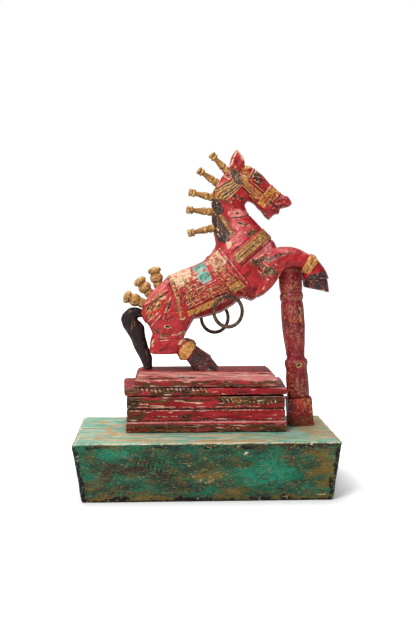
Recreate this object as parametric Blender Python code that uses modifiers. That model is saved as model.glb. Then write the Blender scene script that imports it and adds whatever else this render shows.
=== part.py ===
"""Carved and painted wooden horse rearing over a turned post, on a stepped pedestal and a hewn plinth.

Metres, +Z up, +X the way the horse faces, origin at the middle of the plinth's underside.
The carved figure is drawn in shares of its own height from an origin on the slab; everything that
fits it takes its place from there.
"""

import math
from typing import NamedTuple

import bmesh
import bpy
from mathutils import Matrix, Vector

# Plinth, hewn from one block and wider at the top than at the floor
PLINTH_LENGTH = 0.371
PLINTH_DEPTH = 0.217
PLINTH_HEIGHT = 0.082
PLINTH_END_DRAFT = 0.012
PLINTH_SIDE_DRAFT = 0.006
PLINTH_WORN_EDGE = 0.005
PLINTH_TOOL_DEPTH = 0.0022
PLINTH_CELL = 0.042
PLINTH_BACK_FLARE = 0.016
PLINTH_X = 0.0005
# Wave numbers of the adze marks, per metre
PLINTH_WAVES = ((61, 37), (83, 29))

# Gap left between two pieces that touch
CLEARANCE = 0.0003

# Pedestal, three boards deep and set back on the plinth
PEDESTAL_X = 0.0014
PEDESTAL_Y = 0.0315
PEDESTAL_LENGTH = 0.2308
PEDESTAL_DEPTH = 0.117
PEDESTAL_EDGE = 0.0008
FOOT_HEIGHT = 0.0105
FOOT_SLOPE = 0.005
FOOT_STEP = 0.006
LOWER_COURSE_HEIGHT = 0.0163
COURSE_STEP = 0.0011
COURSE_GROOVE = 0.0009
MIDDLE_COURSE_HEIGHT = 0.0190
CORNICE_THICKNESS = 0.0115
CORNICE_OVERHANG = 0.0022
CORNICE_BACK_FLARE = 0.006
BULLNOSE_FULLNESS = 0.8
BULLNOSE_SIDE_SHARE = 0.5
SHADOW_GAP_HEIGHT = 0.0014
SHADOW_GAP_DEPTH = 0.010
SHADOW_GAP_LENGTH = 0.096
TOP_LENGTH = 0.2062
TOP_DEPTH = 0.110
TOP_EDGE_HEIGHT = 0.0105
TOP_BEVEL_RISE = 0.0105
TOP_END_RUN = 0.0085
TOP_SIDE_RUN = 0.024
# Where the worn bevel turns, in shares of its rise, end run and side run
TOP_BEVEL_BREAK = (0.55, 0.25, 0.45)

# Turned post under the forelegs, leaning back towards the horse
POST_X = 0.1460
POST_LEAN = math.radians(4.3)
POST_BLOCK_SIDE = 0.0362
POST_BLOCK_HEIGHT = 0.0415
POST_HEIGHT = 0.236
POST_SIDES = 14

# Carved figure
FIGURE_HEIGHT = 0.323
DRAWN_HEIGHT = 323.0
FAR_HIND_FOOT_ADVANCE = 2.5
HARNESS_PROUD = 1.5
BRACELET_PROUD = 1.6

# Pegs, finials, rings
PEG_SEAT = 0.0030
PEG_SIDES = 8
FINIAL_SEAT = 0.0030
SOCKET_RISE = 0.010
FINIAL_SIDES = 10
RING_WIRE = 0.0050
RING_WIDTH = 0.0470
RING_LENGTH = 0.0505
RING_STEPS = 20
WIRE_SIDES = 6
EYE_STEPS = 10
EYE_WIRE = 0.0030
EYE_PLAY = 0.0012
EYE_SHANK_DEPTH = 0.0080

SHARE = FIGURE_HEIGHT / DRAWN_HEIGHT
PLINTH_TOP = PLINTH_HEIGHT
BASE_BOTTOM = PLINTH_TOP + CLEARANCE
BASE_HEIGHT = FOOT_HEIGHT + FOOT_SLOPE + LOWER_COURSE_HEIGHT + MIDDLE_COURSE_HEIGHT
CORNICE_BOTTOM = BASE_BOTTOM + BASE_HEIGHT + CLEARANCE
TOP_BOTTOM = CORNICE_BOTTOM + CORNICE_THICKNESS + CLEARANCE
TOP_SURFACE = TOP_BOTTOM + TOP_EDGE_HEIGHT + TOP_BEVEL_RISE
FIGURE_ORIGIN = Vector((0.0, PEDESTAL_Y, TOP_SURFACE + CLEARANCE))


class Rib(NamedTuple):
    """One cross-section of the carving, in shares: two outline points and a half width."""

    top: tuple
    bottom: tuple
    half_width: float
    pinch: float = 0.0


class Band(NamedTuple):
    """A raised strip of harness: the two ends of its middle line and its width."""

    name: str
    start: tuple
    end: tuple
    width: float


# Rump to muzzle: the back and crest above, the belly, breast, throat and jaw below
TRUNK_RIBS = (
    Rib((-91, 94), (-91, 76), 14),
    Rib((-84, 104), (-86, 68), 27),
    Rib((-70, 121), (-74, 64), 34),
    Rib((-51, 138.8), (-54, 63), 37),
    Rib((-32, 147), (-34, 66), 37),
    Rib((-14, 153.2), (-12.8, 73.5), 36),
    Rib((0, 160.2), (8, 78), 35.5),
    Rib((9, 168.6), (26, 83.5), 35.5),
    Rib((16.2, 177.8), (44, 94), 35.5, 0.1),
    Rib((18.3, 187), (57, 105), 35, 0.2),
    Rib((17, 193), (72, 100), 34.5, 0.25),
    Rib((14.3, 203), (92, 114), 32.8, 0.32),
    Rib((12.2, 214), (107, 137), 30.5, 0.4),
    Rib((11.5, 222), (112, 158), 29, 0.45),
    Rib((11.3, 229), (112.5, 172), 27.5, 0.5),
    Rib((11.3, 235), (107, 185.5), 26, 0.5),
    Rib((11.5, 241), (98.5, 197), 25, 0.5),
    Rib((13.2, 255), (72, 223.5), 22.5, 0.45),
    Rib((13.8, 262), (64, 234), 21.5, 0.4),
    Rib((17.3, 270.4), (61.5, 242), 21, 0.35),
    Rib((23.4, 279.8), (63, 247), 20.5, 0.3),
    Rib((33, 292.5), (68, 248), 19.5, 0.2),
    Rib((47, 299.5), (75.5, 243.5), 19, 0.1),
    Rib((61, 301), (84, 234.5), 18.5, 0.1),
    Rib((75.5, 296.7), (91, 225), 17, 0.1),
    Rib((88, 287), (97, 220.5), 15, 0.1),
    Rib((98.7, 273.5), (102.5, 226.5), 13, 0.1),
    Rib((106, 267), (106, 229), 12.2),
    Rib((113.5, 261.5), (112, 229.5), 11.8),
)
MUZZLE_RIBS = (
    Rib((106, 267), (104, 238), 11.9),
    Rib((113.8, 261.3), (113.5, 237.2), 11.6),
    Rib((121, 257), (120, 238.6), 11.4),
    Rib((126.5, 254), (125, 240), 9.6),
    Rib((129, 250.5), (128.5, 241.8), 7.4),
    Rib((131.2, 246.3), (130.8, 244.2), 3.4),
)

# One foreleg, shoulder to wrist, and its two-tier hoof
FORELEG_OFFSET = 18.4
FORELEG_RIBS = (
    Rib((90, 172), (74, 104), 12.5),
    Rib((104, 179), (88, 110.5), 15.0),
    Rib((114, 181.5), (99, 121), 15.5),
    Rib((123, 181.8), (107, 131.5), 15.0),
    Rib((131, 180.5), (112, 140.5), 14.2),
    Rib((138, 178.5), (119, 148.5), 13.2),
    Rib((145, 175.5), (131, 151.2), 12.4),
    Rib((151.5, 171.8), (141, 150.6), 11.8),
    Rib((157.5, 168.6), (145.3, 147.5), 11.4),
    Rib((162.5, 164.5), (149.5, 144), 11.2),
)
FORE_BRACELET_RIBS = (
    Rib((155.5, 169.6), (144, 149.6), 11.4),
    Rib((158.5, 170.8), (143.8, 147), 11.4 + BRACELET_PROUD),
    Rib((164.3, 168.2), (147.3, 142.3), 11.4 + BRACELET_PROUD),
    Rib((168.4, 161), (152.6, 140.8), 11.0 + BRACELET_PROUD),
    Rib((166, 160), (152.5, 143), 10.6),
)
FORE_HOOF_RIBS = (
    Rib((163, 163), (148, 146), 9.4),
    Rib((169.5, 160), (147.5, 142.5), 10.8),
    Rib((175.5, 152.5), (147.3, 139), 11.6),
    Rib((180.5, 145), (148.6, 134.4), 12.6),
    Rib((184.5, 134.6), (150.2, 130.4), 13.6),
    Rib((182.4, 133), (151.2, 129.2), 12.3),
    Rib((183.8, 123.5), (151.3, 125), 12.8),
    Rib((185.3, 114), (152.8, 120.8), 13.2),
)

# One hind leg from the haunch to the folded hock, then pastern and hoof
HIND_LEG_OFFSET = 20.0
HIND_FOOT_OFFSET = 17.5
THIGH_RIBS = (
    Rib((-40, 133), (-58, 131), 10.0),
    Rib((-22, 118), (-78, 114), 16.0),
    Rib((-12, 100), (-89.5, 98), 19.0),
    Rib((-9.5, 84), (-92.2, 84), 19.5),
    Rib((-14.8, 75), (-88.8, 75), 18.5),
    Rib((-21, 63.5), (-80.5, 65), 16.5),
    Rib((-28.2, 52), (-76.3, 55), 14.0),
    Rib((-29.5, 47.5), (-76.6, 49.5), 13.4),
    Rib((-27.5, 43), (-79.8, 42), 13.2),
    Rib((-36, 29), (-80.8, 29), 13.6),
    Rib((-38.5, 25), (-77.5, 24.2), 12.2),
)
PASTERN_RIBS = (
    Rib((-44, 45), (-56, 28), 9.6),
    Rib((-26.5, 42), (-38.5, 25.5), 10.6),
    Rib((-16, 35), (-29, 17), 10.6),
)
HIND_BRACELET_RIBS = (
    Rib((-30, 43.5), (-40.5, 26.5), 10.4),
    Rib((-26.8, 44.8), (-40, 23.8), 10.6 + BRACELET_PROUD),
    Rib((-15.8, 40.8), (-36, 14.6), 10.8 + BRACELET_PROUD),
    Rib((-12.2, 35), (-27, 14), 10.8 + BRACELET_PROUD),
    Rib((-15, 33), (-26, 17), 10.4),
)
HIND_HOOF_RIBS = (
    Rib((-16, 34), (-28, 17), 9.4),
    Rib((-11.5, 31.5), (-25.5, 13.8), 10.8),
    Rib((-1.5, 24.4), (-22.6, 9.8), 11.8),
    Rib((9.6, 17.4), (-19.9, 5.8), 13.0),
    Rib((9.8, 14.6), (-19, 4.6), 12.2),
    Rib((21.3, 0), (-16, 0), 13.0),
)

# One ear, base to tip
EAR_OFFSET = 11.5
EAR_RIBS = (
    Rib((58, 294), (42, 290), 4.6),
    Rib((60.6, 301.5), (38.6, 297), 5.0),
    Rib((60, 307), (39.2, 305), 4.6),
    Rib((57, 314), (41.2, 313), 3.8),
    Rib((52.5, 319.6), (44.2, 319), 2.8),
    Rib((49.2, 323), (47, 323), 1.2),
)
EAR_HOLLOW = (49, 309)
EAR_HOLLOW_SIZE = (6.2, 3.2, 9.5)
EAR_HOLLOW_OUT = 0.6

# Tail, root to foot
TAIL_RIBS = (
    Rib((-88.5, 88), (-88.5, 77), 6.0),
    Rib((-101, 92), (-97, 76), 7.4),
    Rib((-111, 91), (-99, 74.3), 8.4),
    Rib((-120, 83), (-96.6, 72), 9.0),
    Rib((-123.3, 74), (-92, 69), 9.4),
    Rib((-120.8, 63.5), (-88, 63), 9.6),
    Rib((-115, 54.5), (-87.4, 55), 9.4),
    Rib((-109, 45.5), (-86, 46), 9.0),
    Rib((-103, 29.5), (-82.5, 33), 8.2),
    Rib((-95, 14.5), (-76.2, 17.5), 7.4),
    Rib((-88.6, 0), (-76.2, 0), 7.0),
)

# Harness strips that stand proud of the wood
BANDS = (
    Band("breast_strap", (95.5, 202.5), (41.5, 157), 10.4),
    Band("blanket_front_outer", (12, 179), (66, 121), 3.4),
    Band("blanket_front_inner", (2, 170), (57, 112), 5.6),
    Band("blanket_hem_upper", (57, 128.5), (-34, 93), 2.6),
    Band("blanket_hem_lower", (57, 112), (-34, 77), 2.6),
    Band("noseband", (104.5, 271), (83, 236), 11.0),
    Band("cheek_strap", (52, 284), (85, 251), 11.0),
    Band("brow_strap", (55, 272), (68, 304), 8.0),
    Band("poll_strap", (55, 278), (6, 250), 12.5),
)

# Iron ring hangers: the height of each ring's top, and how far out from the middle plane it hangs
NEAR_RING = ((33.8, 110.2), 40.5)
FAR_RING = ((18.8, 95.8), 40.0)
EYE_REACH = 12.0
EYE_SHANK_RISE = 0.55
EYE_SHANK_BOW = 0.35

# Mane pegs and rump finials: where each meets the wood, and where it points
MANE_PEGS = (
    ((34.7, 292.7), (10.8, 317.8)),
    ((19.4, 275.5), (-8.2, 294.7)),
    ((14.0, 253.9), (-22.0, 262.0)),
    ((11.2, 232.9), (-25.6, 235.9)),
    ((13.0, 208.6), (-23.6, 200.7)),
)
RUMP_FINIALS = (
    ((-66.8, 124.0), (-74.4, 151.0)),
    ((-79.9, 111.6), (-98.0, 134.3)),
    ((-90.4, 97.6), (-118.4, 109.1)),
)
# Turned profiles, from the far end inwards: share of the length, radius in drawn shares
PEG_PROFILE = (
    (1.00, 3.6), (0.97, 5.5), (0.87, 5.8), (0.845, 4.8), (0.82, 5.6), (0.75, 5.7), (0.70, 3.5),
    (0.50, 4.5), (0.30, 6.1), (0.24, 5.8), (0.19, 4.6), (0.14, 5.8), (0.0, 6.0),
)
FINIAL_PROFILE = (
    (1.00, 3.5), (0.95, 7.4), (0.85, 9.7), (0.74, 9.3), (0.68, 7.4), (0.62, 7.2), (0.52, 9.0),
    (0.40, 9.6), (0.26, 8.2), (0.16, 6.9), (0.11, 7.5), (0.0, 7.5),
)
# Post's head and upper bead: distance down from the top along the post, radius
POST_HEAD_PROFILE = (
    (0.0, 0.0160), (0.0025, 0.0171), (0.0260, 0.0171), (0.0355, 0.0166), (0.0375, 0.0160),
    (0.0395, 0.0170), (0.0435, 0.0178), (0.0480, 0.0170), (0.0510, 0.0158), (0.0560, 0.0171),
)
# Post's belly, lower bead and foot: height above the plinth along the post, radius
POST_FOOT_PROFILE = (
    (0.1500, 0.0173), (0.1200, 0.0152), (0.1010, 0.0134), (0.0995, 0.0140), (0.0975, 0.0166),
    (0.0920, 0.0176), (0.0865, 0.0166), (0.0825, 0.0160), (0.0660, 0.0170), (0.0440, 0.0170),
    (0.0400, 0.0150),
)
TRUNK_SIDES = 12
LIMB_SIDES = 10
# Roundness of a rib: 1 is an ellipse, less is fuller
RIB_FULLNESS_UP = 0.85
RIB_FULLNESS_ACROSS = 0.8
BAND_REACH = 60.0
BAND_REACH_STEP = 0.7


def srgb(red, green, blue):
    """Linear colour for 8-bit sRGB values."""
    def linear(value):
        share = value / 255
        return share / 12.92 if share <= 0.04045 else ((share + 0.055) / 1.055) ** 2.4
    return (linear(red), linear(green), linear(blue), 1.0)


def make_material(name, colour, roughness, metallic=0.0):
    material = bpy.data.materials.new(name)
    material.use_nodes = True
    shader = material.node_tree.nodes["Principled BSDF"]
    shader.inputs["Base Color"].default_value = colour
    shader.inputs["Roughness"].default_value = roughness
    shader.inputs["Metallic"].default_value = metallic
    material.diffuse_color = colour
    return material


def clear_scene():
    for old in list(bpy.data.objects):
        bpy.data.objects.remove(old, do_unlink=True)
    parts = bpy.data.collections.new("wooden_horse_figure")
    cutters = bpy.data.collections.new("cutters")
    for collection in (parts, cutters):
        bpy.context.scene.collection.children.link(collection)
    return parts, cutters


def figure_point(x, z, y=0.0):
    """Place of a point drawn in figure shares, from the figure's own origin on the slab."""
    return Vector((x, y, z)) * SHARE


def add_object(name, mesh, collection, material=None):
    obj = bpy.data.objects.new(name, mesh)
    collection.objects.link(obj)
    if material:
        mesh.materials.append(material)
    return obj


def add_helper(name, mesh, cutters):
    """A solid that only shapes others: it isn't rendered and shows as a wire."""
    obj = add_object(name, mesh, cutters)
    obj.hide_render = True
    obj.display_type = "WIRE"
    return obj


def on_figure(obj):
    """Stands an object that is drawn from the figure's origin on the slab."""
    obj.location = FIGURE_ORIGIN
    return obj


def mesh_from(name, build):
    """A mesh made by build(bm), with its faces pointing out."""
    bm = bmesh.new()
    build(bm)
    bmesh.ops.recalc_face_normals(bm, faces=bm.faces)
    mesh = bpy.data.meshes.new(name)
    bm.to_mesh(mesh)
    bm.free()
    return mesh


def shade_round(obj, angle=40.0):
    obj.data.shade_smooth()
    obj.data.set_sharp_from_angle(angle=math.radians(angle))


def boolean(obj, operation, operand):
    modifier = obj.modifiers.new(f"{operation.lower()} {operand.name}", "BOOLEAN")
    modifier.operation = operation
    modifier.solver = "EXACT"
    modifier.object = operand


def box_mesh(name, low, high):
    def build(bm):
        bmesh.ops.create_cube(bm, size=1.0)
        centre = (Vector(low) + Vector(high)) / 2
        size = Vector(high) - Vector(low)
        bmesh.ops.scale(bm, verts=bm.verts, vec=size)
        bmesh.ops.translate(bm, verts=bm.verts, vec=centre)
    return mesh_from(name, build)


def loft(bm, rings):
    """Skins closed rings of equal length and caps both ends."""
    loops = [[bm.verts.new(point) for point in ring] for ring in rings]
    for lower, upper in zip(loops, loops[1:]):
        for i in range(len(lower)):
            j = (i + 1) % len(lower)
            bm.faces.new((lower[i], lower[j], upper[j], upper[i]))
    bm.faces.new(list(reversed(loops[0])))
    bm.faces.new(loops[-1])


def rib_ring(rib, middle_y, sides, grow=0.0):
    """A rib as a ring of points: rounded, and pinched towards its top where it says so."""
    top = Vector(rib.top)
    bottom = Vector(rib.bottom)
    middle = (top + bottom) / 2
    reach = (top - bottom) / 2
    reach *= 1 + grow / reach.length
    ring = []
    for i in range(sides):
        angle = math.pi / 2 + math.tau * i / sides
        rise = math.copysign(abs(math.sin(angle)) ** RIB_FULLNESS_UP, math.sin(angle))
        spread = math.copysign(abs(math.cos(angle)) ** RIB_FULLNESS_ACROSS, math.cos(angle))
        width = (rib.half_width + grow) * (1 - rib.pinch * max(0.0, rise))
        place = middle + reach * rise
        ring.append(figure_point(place.x, place.y, middle_y + width * spread))
    return ring


def rib_mesh(name, ribs, middle_y=0.0, sides=LIMB_SIDES, grow=0.0):
    rings = [rib_ring(rib, middle_y, sides, grow) for rib in ribs]
    return mesh_from(name, lambda bm: loft(bm, rings))


def shifted(ribs, along):
    """The same ribs moved along the horse."""
    moved = []
    for rib in ribs:
        top, bottom = ((x + along, z) for x, z in (rib.top, rib.bottom))
        moved.append(Rib(top, bottom, rib.half_width, rib.pinch))
    return tuple(moved)


def turned_mesh(name, profile):
    """An open half profile from the axis out and back to the axis, for a Screw modifier."""
    def build(bm):
        outline = [(radius, height) for height, radius in profile]
        chain = [(0.0, profile[0][0]), *outline, (0.0, profile[-1][0])]
        verts = [bm.verts.new((radius, 0.0, height)) for radius, height in chain]
        for one, two in zip(verts, verts[1:]):
            bm.edges.new((one, two))
    return mesh_from(name, build)


def add_screw(obj, sides):
    screw = obj.modifiers.new("turn", "SCREW")
    screw.axis = "Z"
    screw.angle = math.tau
    screw.steps = sides
    screw.render_steps = sides
    screw.use_merge_vertices = True
    screw.merge_threshold = 0.00001
    screw.use_smooth_shade = True


def place_along(obj, base, tip):
    """Stands an object's Z axis on base, pointing at tip."""
    turn = (tip - base).to_track_quat("Z", "Y").to_matrix().to_4x4()
    obj.matrix_world = Matrix.Translation(base) @ turn


def build_plinth(parts, material):
    half = Vector((PLINTH_LENGTH / 2, PLINTH_DEPTH / 2, PLINTH_HEIGHT / 2))

    def build(bm):
        bmesh.ops.create_cube(bm, size=2.0)
        bmesh.ops.scale(bm, verts=bm.verts, vec=half)
        bmesh.ops.translate(bm, verts=bm.verts, vec=(0, 0, half.z))
        edges = list(bm.edges)
        bmesh.ops.bevel(bm, geom=edges, offset=PLINTH_WORN_EDGE, segments=2, profile=0.5, affect="EDGES")
        for axis, low, high in ((0, -half.x, half.x), (1, -half.y, half.y), (2, 0.0, PLINTH_HEIGHT)):
            cuts = max(2, round((high - low) / PLINTH_CELL))
            for i in range(1, cuts):
                place = Vector((0, 0, 0))
                place[axis] = low + (high - low) * i / cuts
                normal = Vector((0, 0, 0))
                normal[axis] = 1.0
                geom = list(bm.verts) + list(bm.edges) + list(bm.faces)
                bmesh.ops.bisect_plane(bm, geom=geom, plane_co=place, plane_no=normal)
        for vert in bm.verts:
            x, y, z = vert.co
            low = 1 - z / PLINTH_HEIGHT
            (along_a, up_a), (across_b, along_b) = PLINTH_WAVES
            waves = math.sin(x * along_a + z * up_a) + math.sin(y * across_b + x * along_b)
            edge_free = max(0.0, min(1.0, z / PLINTH_WORN_EDGE, (PLINTH_HEIGHT - z) / PLINTH_WORN_EDGE))
            hewn = PLINTH_TOOL_DEPTH * edge_free * (2 + waves) / 4
            flare = 1 + PLINTH_BACK_FLARE * (y / half.y + 1) / 2
            vert.co.x = PLINTH_X + (x - (PLINTH_END_DRAFT * low + hewn) * x / half.x) * flare
            vert.co.y = y - (PLINTH_SIDE_DRAFT * low + hewn) * y / half.y

    plinth = add_object("plinth", mesh_from("plinth", build), parts, material)
    shade_round(plinth, 30.0)


def moulding_levels():
    """Height, end inset and side inset up the moulded base block."""
    foot_top = FOOT_HEIGHT
    lower_bottom = foot_top + FOOT_SLOPE
    lower_top = lower_bottom + LOWER_COURSE_HEIGHT
    top = lower_top + MIDDLE_COURSE_HEIGHT
    return (
        (0.0, 0.0, -FOOT_STEP),
        (foot_top, 0.0, -FOOT_STEP),
        (lower_bottom, COURSE_GROOVE, 0.0),
        (lower_top - COURSE_GROOVE, COURSE_GROOVE, 0.0),
        (lower_top, COURSE_STEP + COURSE_GROOVE, COURSE_STEP + COURSE_GROOVE),
        (lower_top + COURSE_GROOVE, COURSE_STEP, COURSE_STEP),
        (top, COURSE_STEP, COURSE_STEP),
    )


def build_moulded_board(name, parts, material, length, depth, bottom, levels, flare=0.0):
    """A board whose edge follows levels of (height, end inset, side inset).

    The flare makes its back longer than its front at each end.
    """
    def build(bm):
        rings = []
        for height, end_inset, side_inset in levels:
            half_x = length / 2 - end_inset
            half_y = depth / 2 - side_inset
            back_x = half_x + flare
            corners = ((-half_x, -half_y), (half_x, -half_y), (back_x, half_y), (-back_x, half_y))
            rings.append([(PEDESTAL_X + x, PEDESTAL_Y + y, bottom + height) for x, y in corners])
        loft(bm, rings)
    board = add_object(name, mesh_from(name, build), parts, material)
    edges = board.modifiers.new("softened edges", "BEVEL")
    edges.width = PEDESTAL_EDGE
    edges.segments = 1
    edges.limit_method = "ANGLE"
    edges.angle_limit = math.radians(40)
    return board


def bullnose_levels(thickness, steps=6):
    """Levels of a board with a half-round edge."""
    levels = []
    for i in range(steps + 1):
        rise = -1 + 2 * i / steps
        inset = thickness / 2 * (1 - math.sqrt(1 - BULLNOSE_FULLNESS * rise * rise))
        levels.append((thickness * i / steps, inset, inset * BULLNOSE_SIDE_SHARE))
    return levels


def build_pedestal(parts, cutters, material):
    length, depth = PEDESTAL_LENGTH, PEDESTAL_DEPTH
    build_moulded_board("pedestal_base", parts, material, length, depth, BASE_BOTTOM, moulding_levels())
    length += 2 * CORNICE_OVERHANG
    depth += 2 * CORNICE_OVERHANG
    levels = bullnose_levels(CORNICE_THICKNESS)
    cornice = build_moulded_board(
        "pedestal_cornice", parts, material, length, depth, CORNICE_BOTTOM, levels, CORNICE_BACK_FLARE
    )
    boolean(cornice, "DIFFERENCE", shadow_gap(PEDESTAL_X + length / 2, PEDESTAL_Y - depth / 2, cutters))
    rise, end_run, side_run = TOP_BEVEL_BREAK
    top_levels = (
        (0.0, 0.0, 0.0),
        (TOP_EDGE_HEIGHT, 0.0, 0.0),
        (TOP_EDGE_HEIGHT + TOP_BEVEL_RISE * rise, TOP_END_RUN * end_run, TOP_SIDE_RUN * side_run),
        (TOP_EDGE_HEIGHT + TOP_BEVEL_RISE, TOP_END_RUN, TOP_SIDE_RUN),
    )
    build_moulded_board("pedestal_top", parts, material, TOP_LENGTH, TOP_DEPTH, TOP_BOTTOM, top_levels)


def shadow_gap(end, front, cutters):
    """The thin dark gap under the cornice at the post's end of its front."""
    low = (end - SHADOW_GAP_LENGTH, front - CORNICE_OVERHANG, CORNICE_BOTTOM - CLEARANCE)
    high = (end + CORNICE_BACK_FLARE, front + SHADOW_GAP_DEPTH, CORNICE_BOTTOM + SHADOW_GAP_HEIGHT)
    return add_helper("shadow_gap_cutter", box_mesh("shadow_gap_cutter", low, high), cutters)


def post_axis_point(height):
    """Point on the leaning post's axis, a height along it above the plinth."""
    x = POST_X - math.sin(POST_LEAN) * height
    return Vector((x, PEDESTAL_Y, PLINTH_TOP + math.cos(POST_LEAN) * height))


def build_post(parts, cutters, material):
    sunk = POST_BLOCK_SIDE * math.sin(POST_LEAN) + 2 * CLEARANCE
    half = POST_BLOCK_SIDE / 2
    block = box_mesh("post", (-half, -half, -sunk), (half, half, POST_BLOCK_HEIGHT))
    post = add_object("post", block, parts, material)
    place_along(post, post_axis_point(0.0), post_axis_point(POST_HEIGHT))
    edges = post.modifiers.new("softened edges", "BEVEL")
    edges.width = PEDESTAL_EDGE
    edges.segments = 1
    profile = [(POST_HEIGHT - drop, radius) for drop, radius in POST_HEAD_PROFILE]
    profile += POST_FOOT_PROFILE
    shaft = add_helper("post_shaft", turned_mesh("post_shaft", profile), cutters)
    add_screw(shaft, POST_SIDES)
    shaft.matrix_world = post.matrix_world
    boolean(post, "UNION", shaft)
    reach = POST_BLOCK_SIDE
    low = (POST_X - reach, PEDESTAL_Y - reach, PLINTH_TOP - reach)
    high = (POST_X + reach, PEDESTAL_Y + reach, PLINTH_TOP + CLEARANCE)
    below = add_helper("plinth_top_cutter", box_mesh("plinth_top_cutter", low, high), cutters)
    boolean(post, "DIFFERENCE", below)
    shade_round(post)


def clear_radius(radius, sides):
    """Corner radius of a many-sided hole whose flats stay clear of a round piece."""
    return radius / math.cos(math.pi / sides) + CLEARANCE


def post_seat(cutters):
    """The hollow under the forelegs that fits over the post's head."""
    radius = clear_radius(max(radius for drop, radius in POST_HEAD_PROFILE[:3]), POST_SIDES)

    def build(bm):
        bmesh.ops.create_cone(
            bm, cap_ends=True, segments=POST_SIDES, radius1=radius, radius2=radius, depth=2 * radius,
            matrix=Matrix.Translation((0, 0, POST_HEIGHT + CLEARANCE - radius)),
        )

    seat = add_helper("post_seat_cutter", mesh_from("post_seat_cutter", build), cutters)
    place_along(seat, post_axis_point(0.0), post_axis_point(POST_HEIGHT))
    return seat


def band_box(band, reach, cutters):
    """A bar straight through the figure between the two planes of a harness strip."""
    start = Vector(band.start)
    end = Vector(band.end)
    along = (end - start).normalized()
    across = Vector((-along.y, along.x)) * band.width / 2
    corners = [start - across, end - across, end + across, start + across]

    def build(bm):
        loft(bm, [[figure_point(corner.x, corner.y, y) for corner in corners] for y in (-reach, reach)])

    return on_figure(add_helper(f"{band.name}_bar", mesh_from(band.name, build), cutters))


def harness_helper(cutters):
    """Every raised strip: a swollen copy of the trunk, kept only where a bar goes through it."""
    bars = [band_box(band, BAND_REACH + i * BAND_REACH_STEP, cutters) for i, band in enumerate(BANDS)]
    for bar in bars[1:]:
        boolean(bars[0], "UNION", bar)
    swollen = rib_mesh("harness", TRUNK_RIBS, sides=TRUNK_SIDES, grow=HARNESS_PROUD)
    harness = on_figure(add_helper("harness", swollen, cutters))
    boolean(harness, "INTERSECT", bars[0])
    return harness


def limb_helpers(side, cutters):
    """The blanks of one foreleg, one hind leg and one ear, side being -1 (near) or 1 (far)."""
    label = "near" if side < 0 else "far"
    advance = 0.0 if side < 0 else FAR_HIND_FOOT_ADVANCE
    blanks = [
        (f"foreleg_{label}", FORELEG_RIBS, FORELEG_OFFSET),
        (f"fore_bracelet_{label}", FORE_BRACELET_RIBS, FORELEG_OFFSET),
        (f"fore_hoof_{label}", FORE_HOOF_RIBS, FORELEG_OFFSET),
        (f"thigh_{label}", THIGH_RIBS, HIND_LEG_OFFSET),
        (f"pastern_{label}", shifted(PASTERN_RIBS, advance), HIND_FOOT_OFFSET),
        (f"hind_bracelet_{label}", shifted(HIND_BRACELET_RIBS, advance), HIND_FOOT_OFFSET),
        (f"hind_hoof_{label}", shifted(HIND_HOOF_RIBS, advance), HIND_FOOT_OFFSET),
        (f"ear_{label}", EAR_RIBS, EAR_OFFSET),
    ]
    return [
        on_figure(add_helper(name, rib_mesh(name, ribs, side * offset), cutters))
        for name, ribs, offset in blanks
    ]


def ear_hollow(side, cutters):
    def build(bm):
        bmesh.ops.create_uvsphere(bm, u_segments=10, v_segments=6, radius=1.0)
        bmesh.ops.scale(bm, verts=bm.verts, vec=Vector(EAR_HOLLOW_SIZE) * SHARE)
        out = EAR_OFFSET + EAR_RIBS[2].half_width + EAR_HOLLOW_OUT
        centre = figure_point(*EAR_HOLLOW, y=side * out)
        bmesh.ops.translate(bm, verts=bm.verts, vec=centre)
    name = "ear_hollow_near" if side < 0 else "ear_hollow_far"
    return on_figure(add_helper(name, mesh_from(name, build), cutters))


def seat_cutter(name, base, tip, radius, depth, cutters, sides):
    """A round socket in the wood for a turned piece, with the wood above it cleared as well."""
    low = -depth - CLEARANCE
    wall = clear_radius(radius, sides)

    def build(bm):
        bmesh.ops.create_cone(
            bm, cap_ends=True, segments=sides, radius1=wall, radius2=wall,
            depth=SOCKET_RISE - low, matrix=Matrix.Translation((0, 0, (SOCKET_RISE + low) / 2)),
        )

    cutter = add_helper(name, mesh_from(name, build), cutters)
    place_along(cutter, base, tip)
    return cutter


def build_turned_set(stem, places, profile, seat, sides, parts, cutters, material):
    """Turned pieces in a row, each standing in its socket; returns the sockets."""
    sockets = []
    for number, (base, tip) in enumerate(places, start=1):
        foot = FIGURE_ORIGIN + figure_point(*base)
        head = FIGURE_ORIGIN + figure_point(*tip)
        length = (head - foot).length
        heights = [(share * length, radius * SHARE) for share, radius in profile]
        heights.append((-seat, heights[-1][1]))
        name = f"{stem}_{number}"
        piece = add_object(name, turned_mesh(name, heights), parts, material)
        add_screw(piece, sides)
        place_along(piece, foot, head)
        widest = heights[-1][1]
        sockets.append(seat_cutter(f"{name}_socket", foot, head, widest, seat, cutters, sides))
    return sockets


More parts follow.
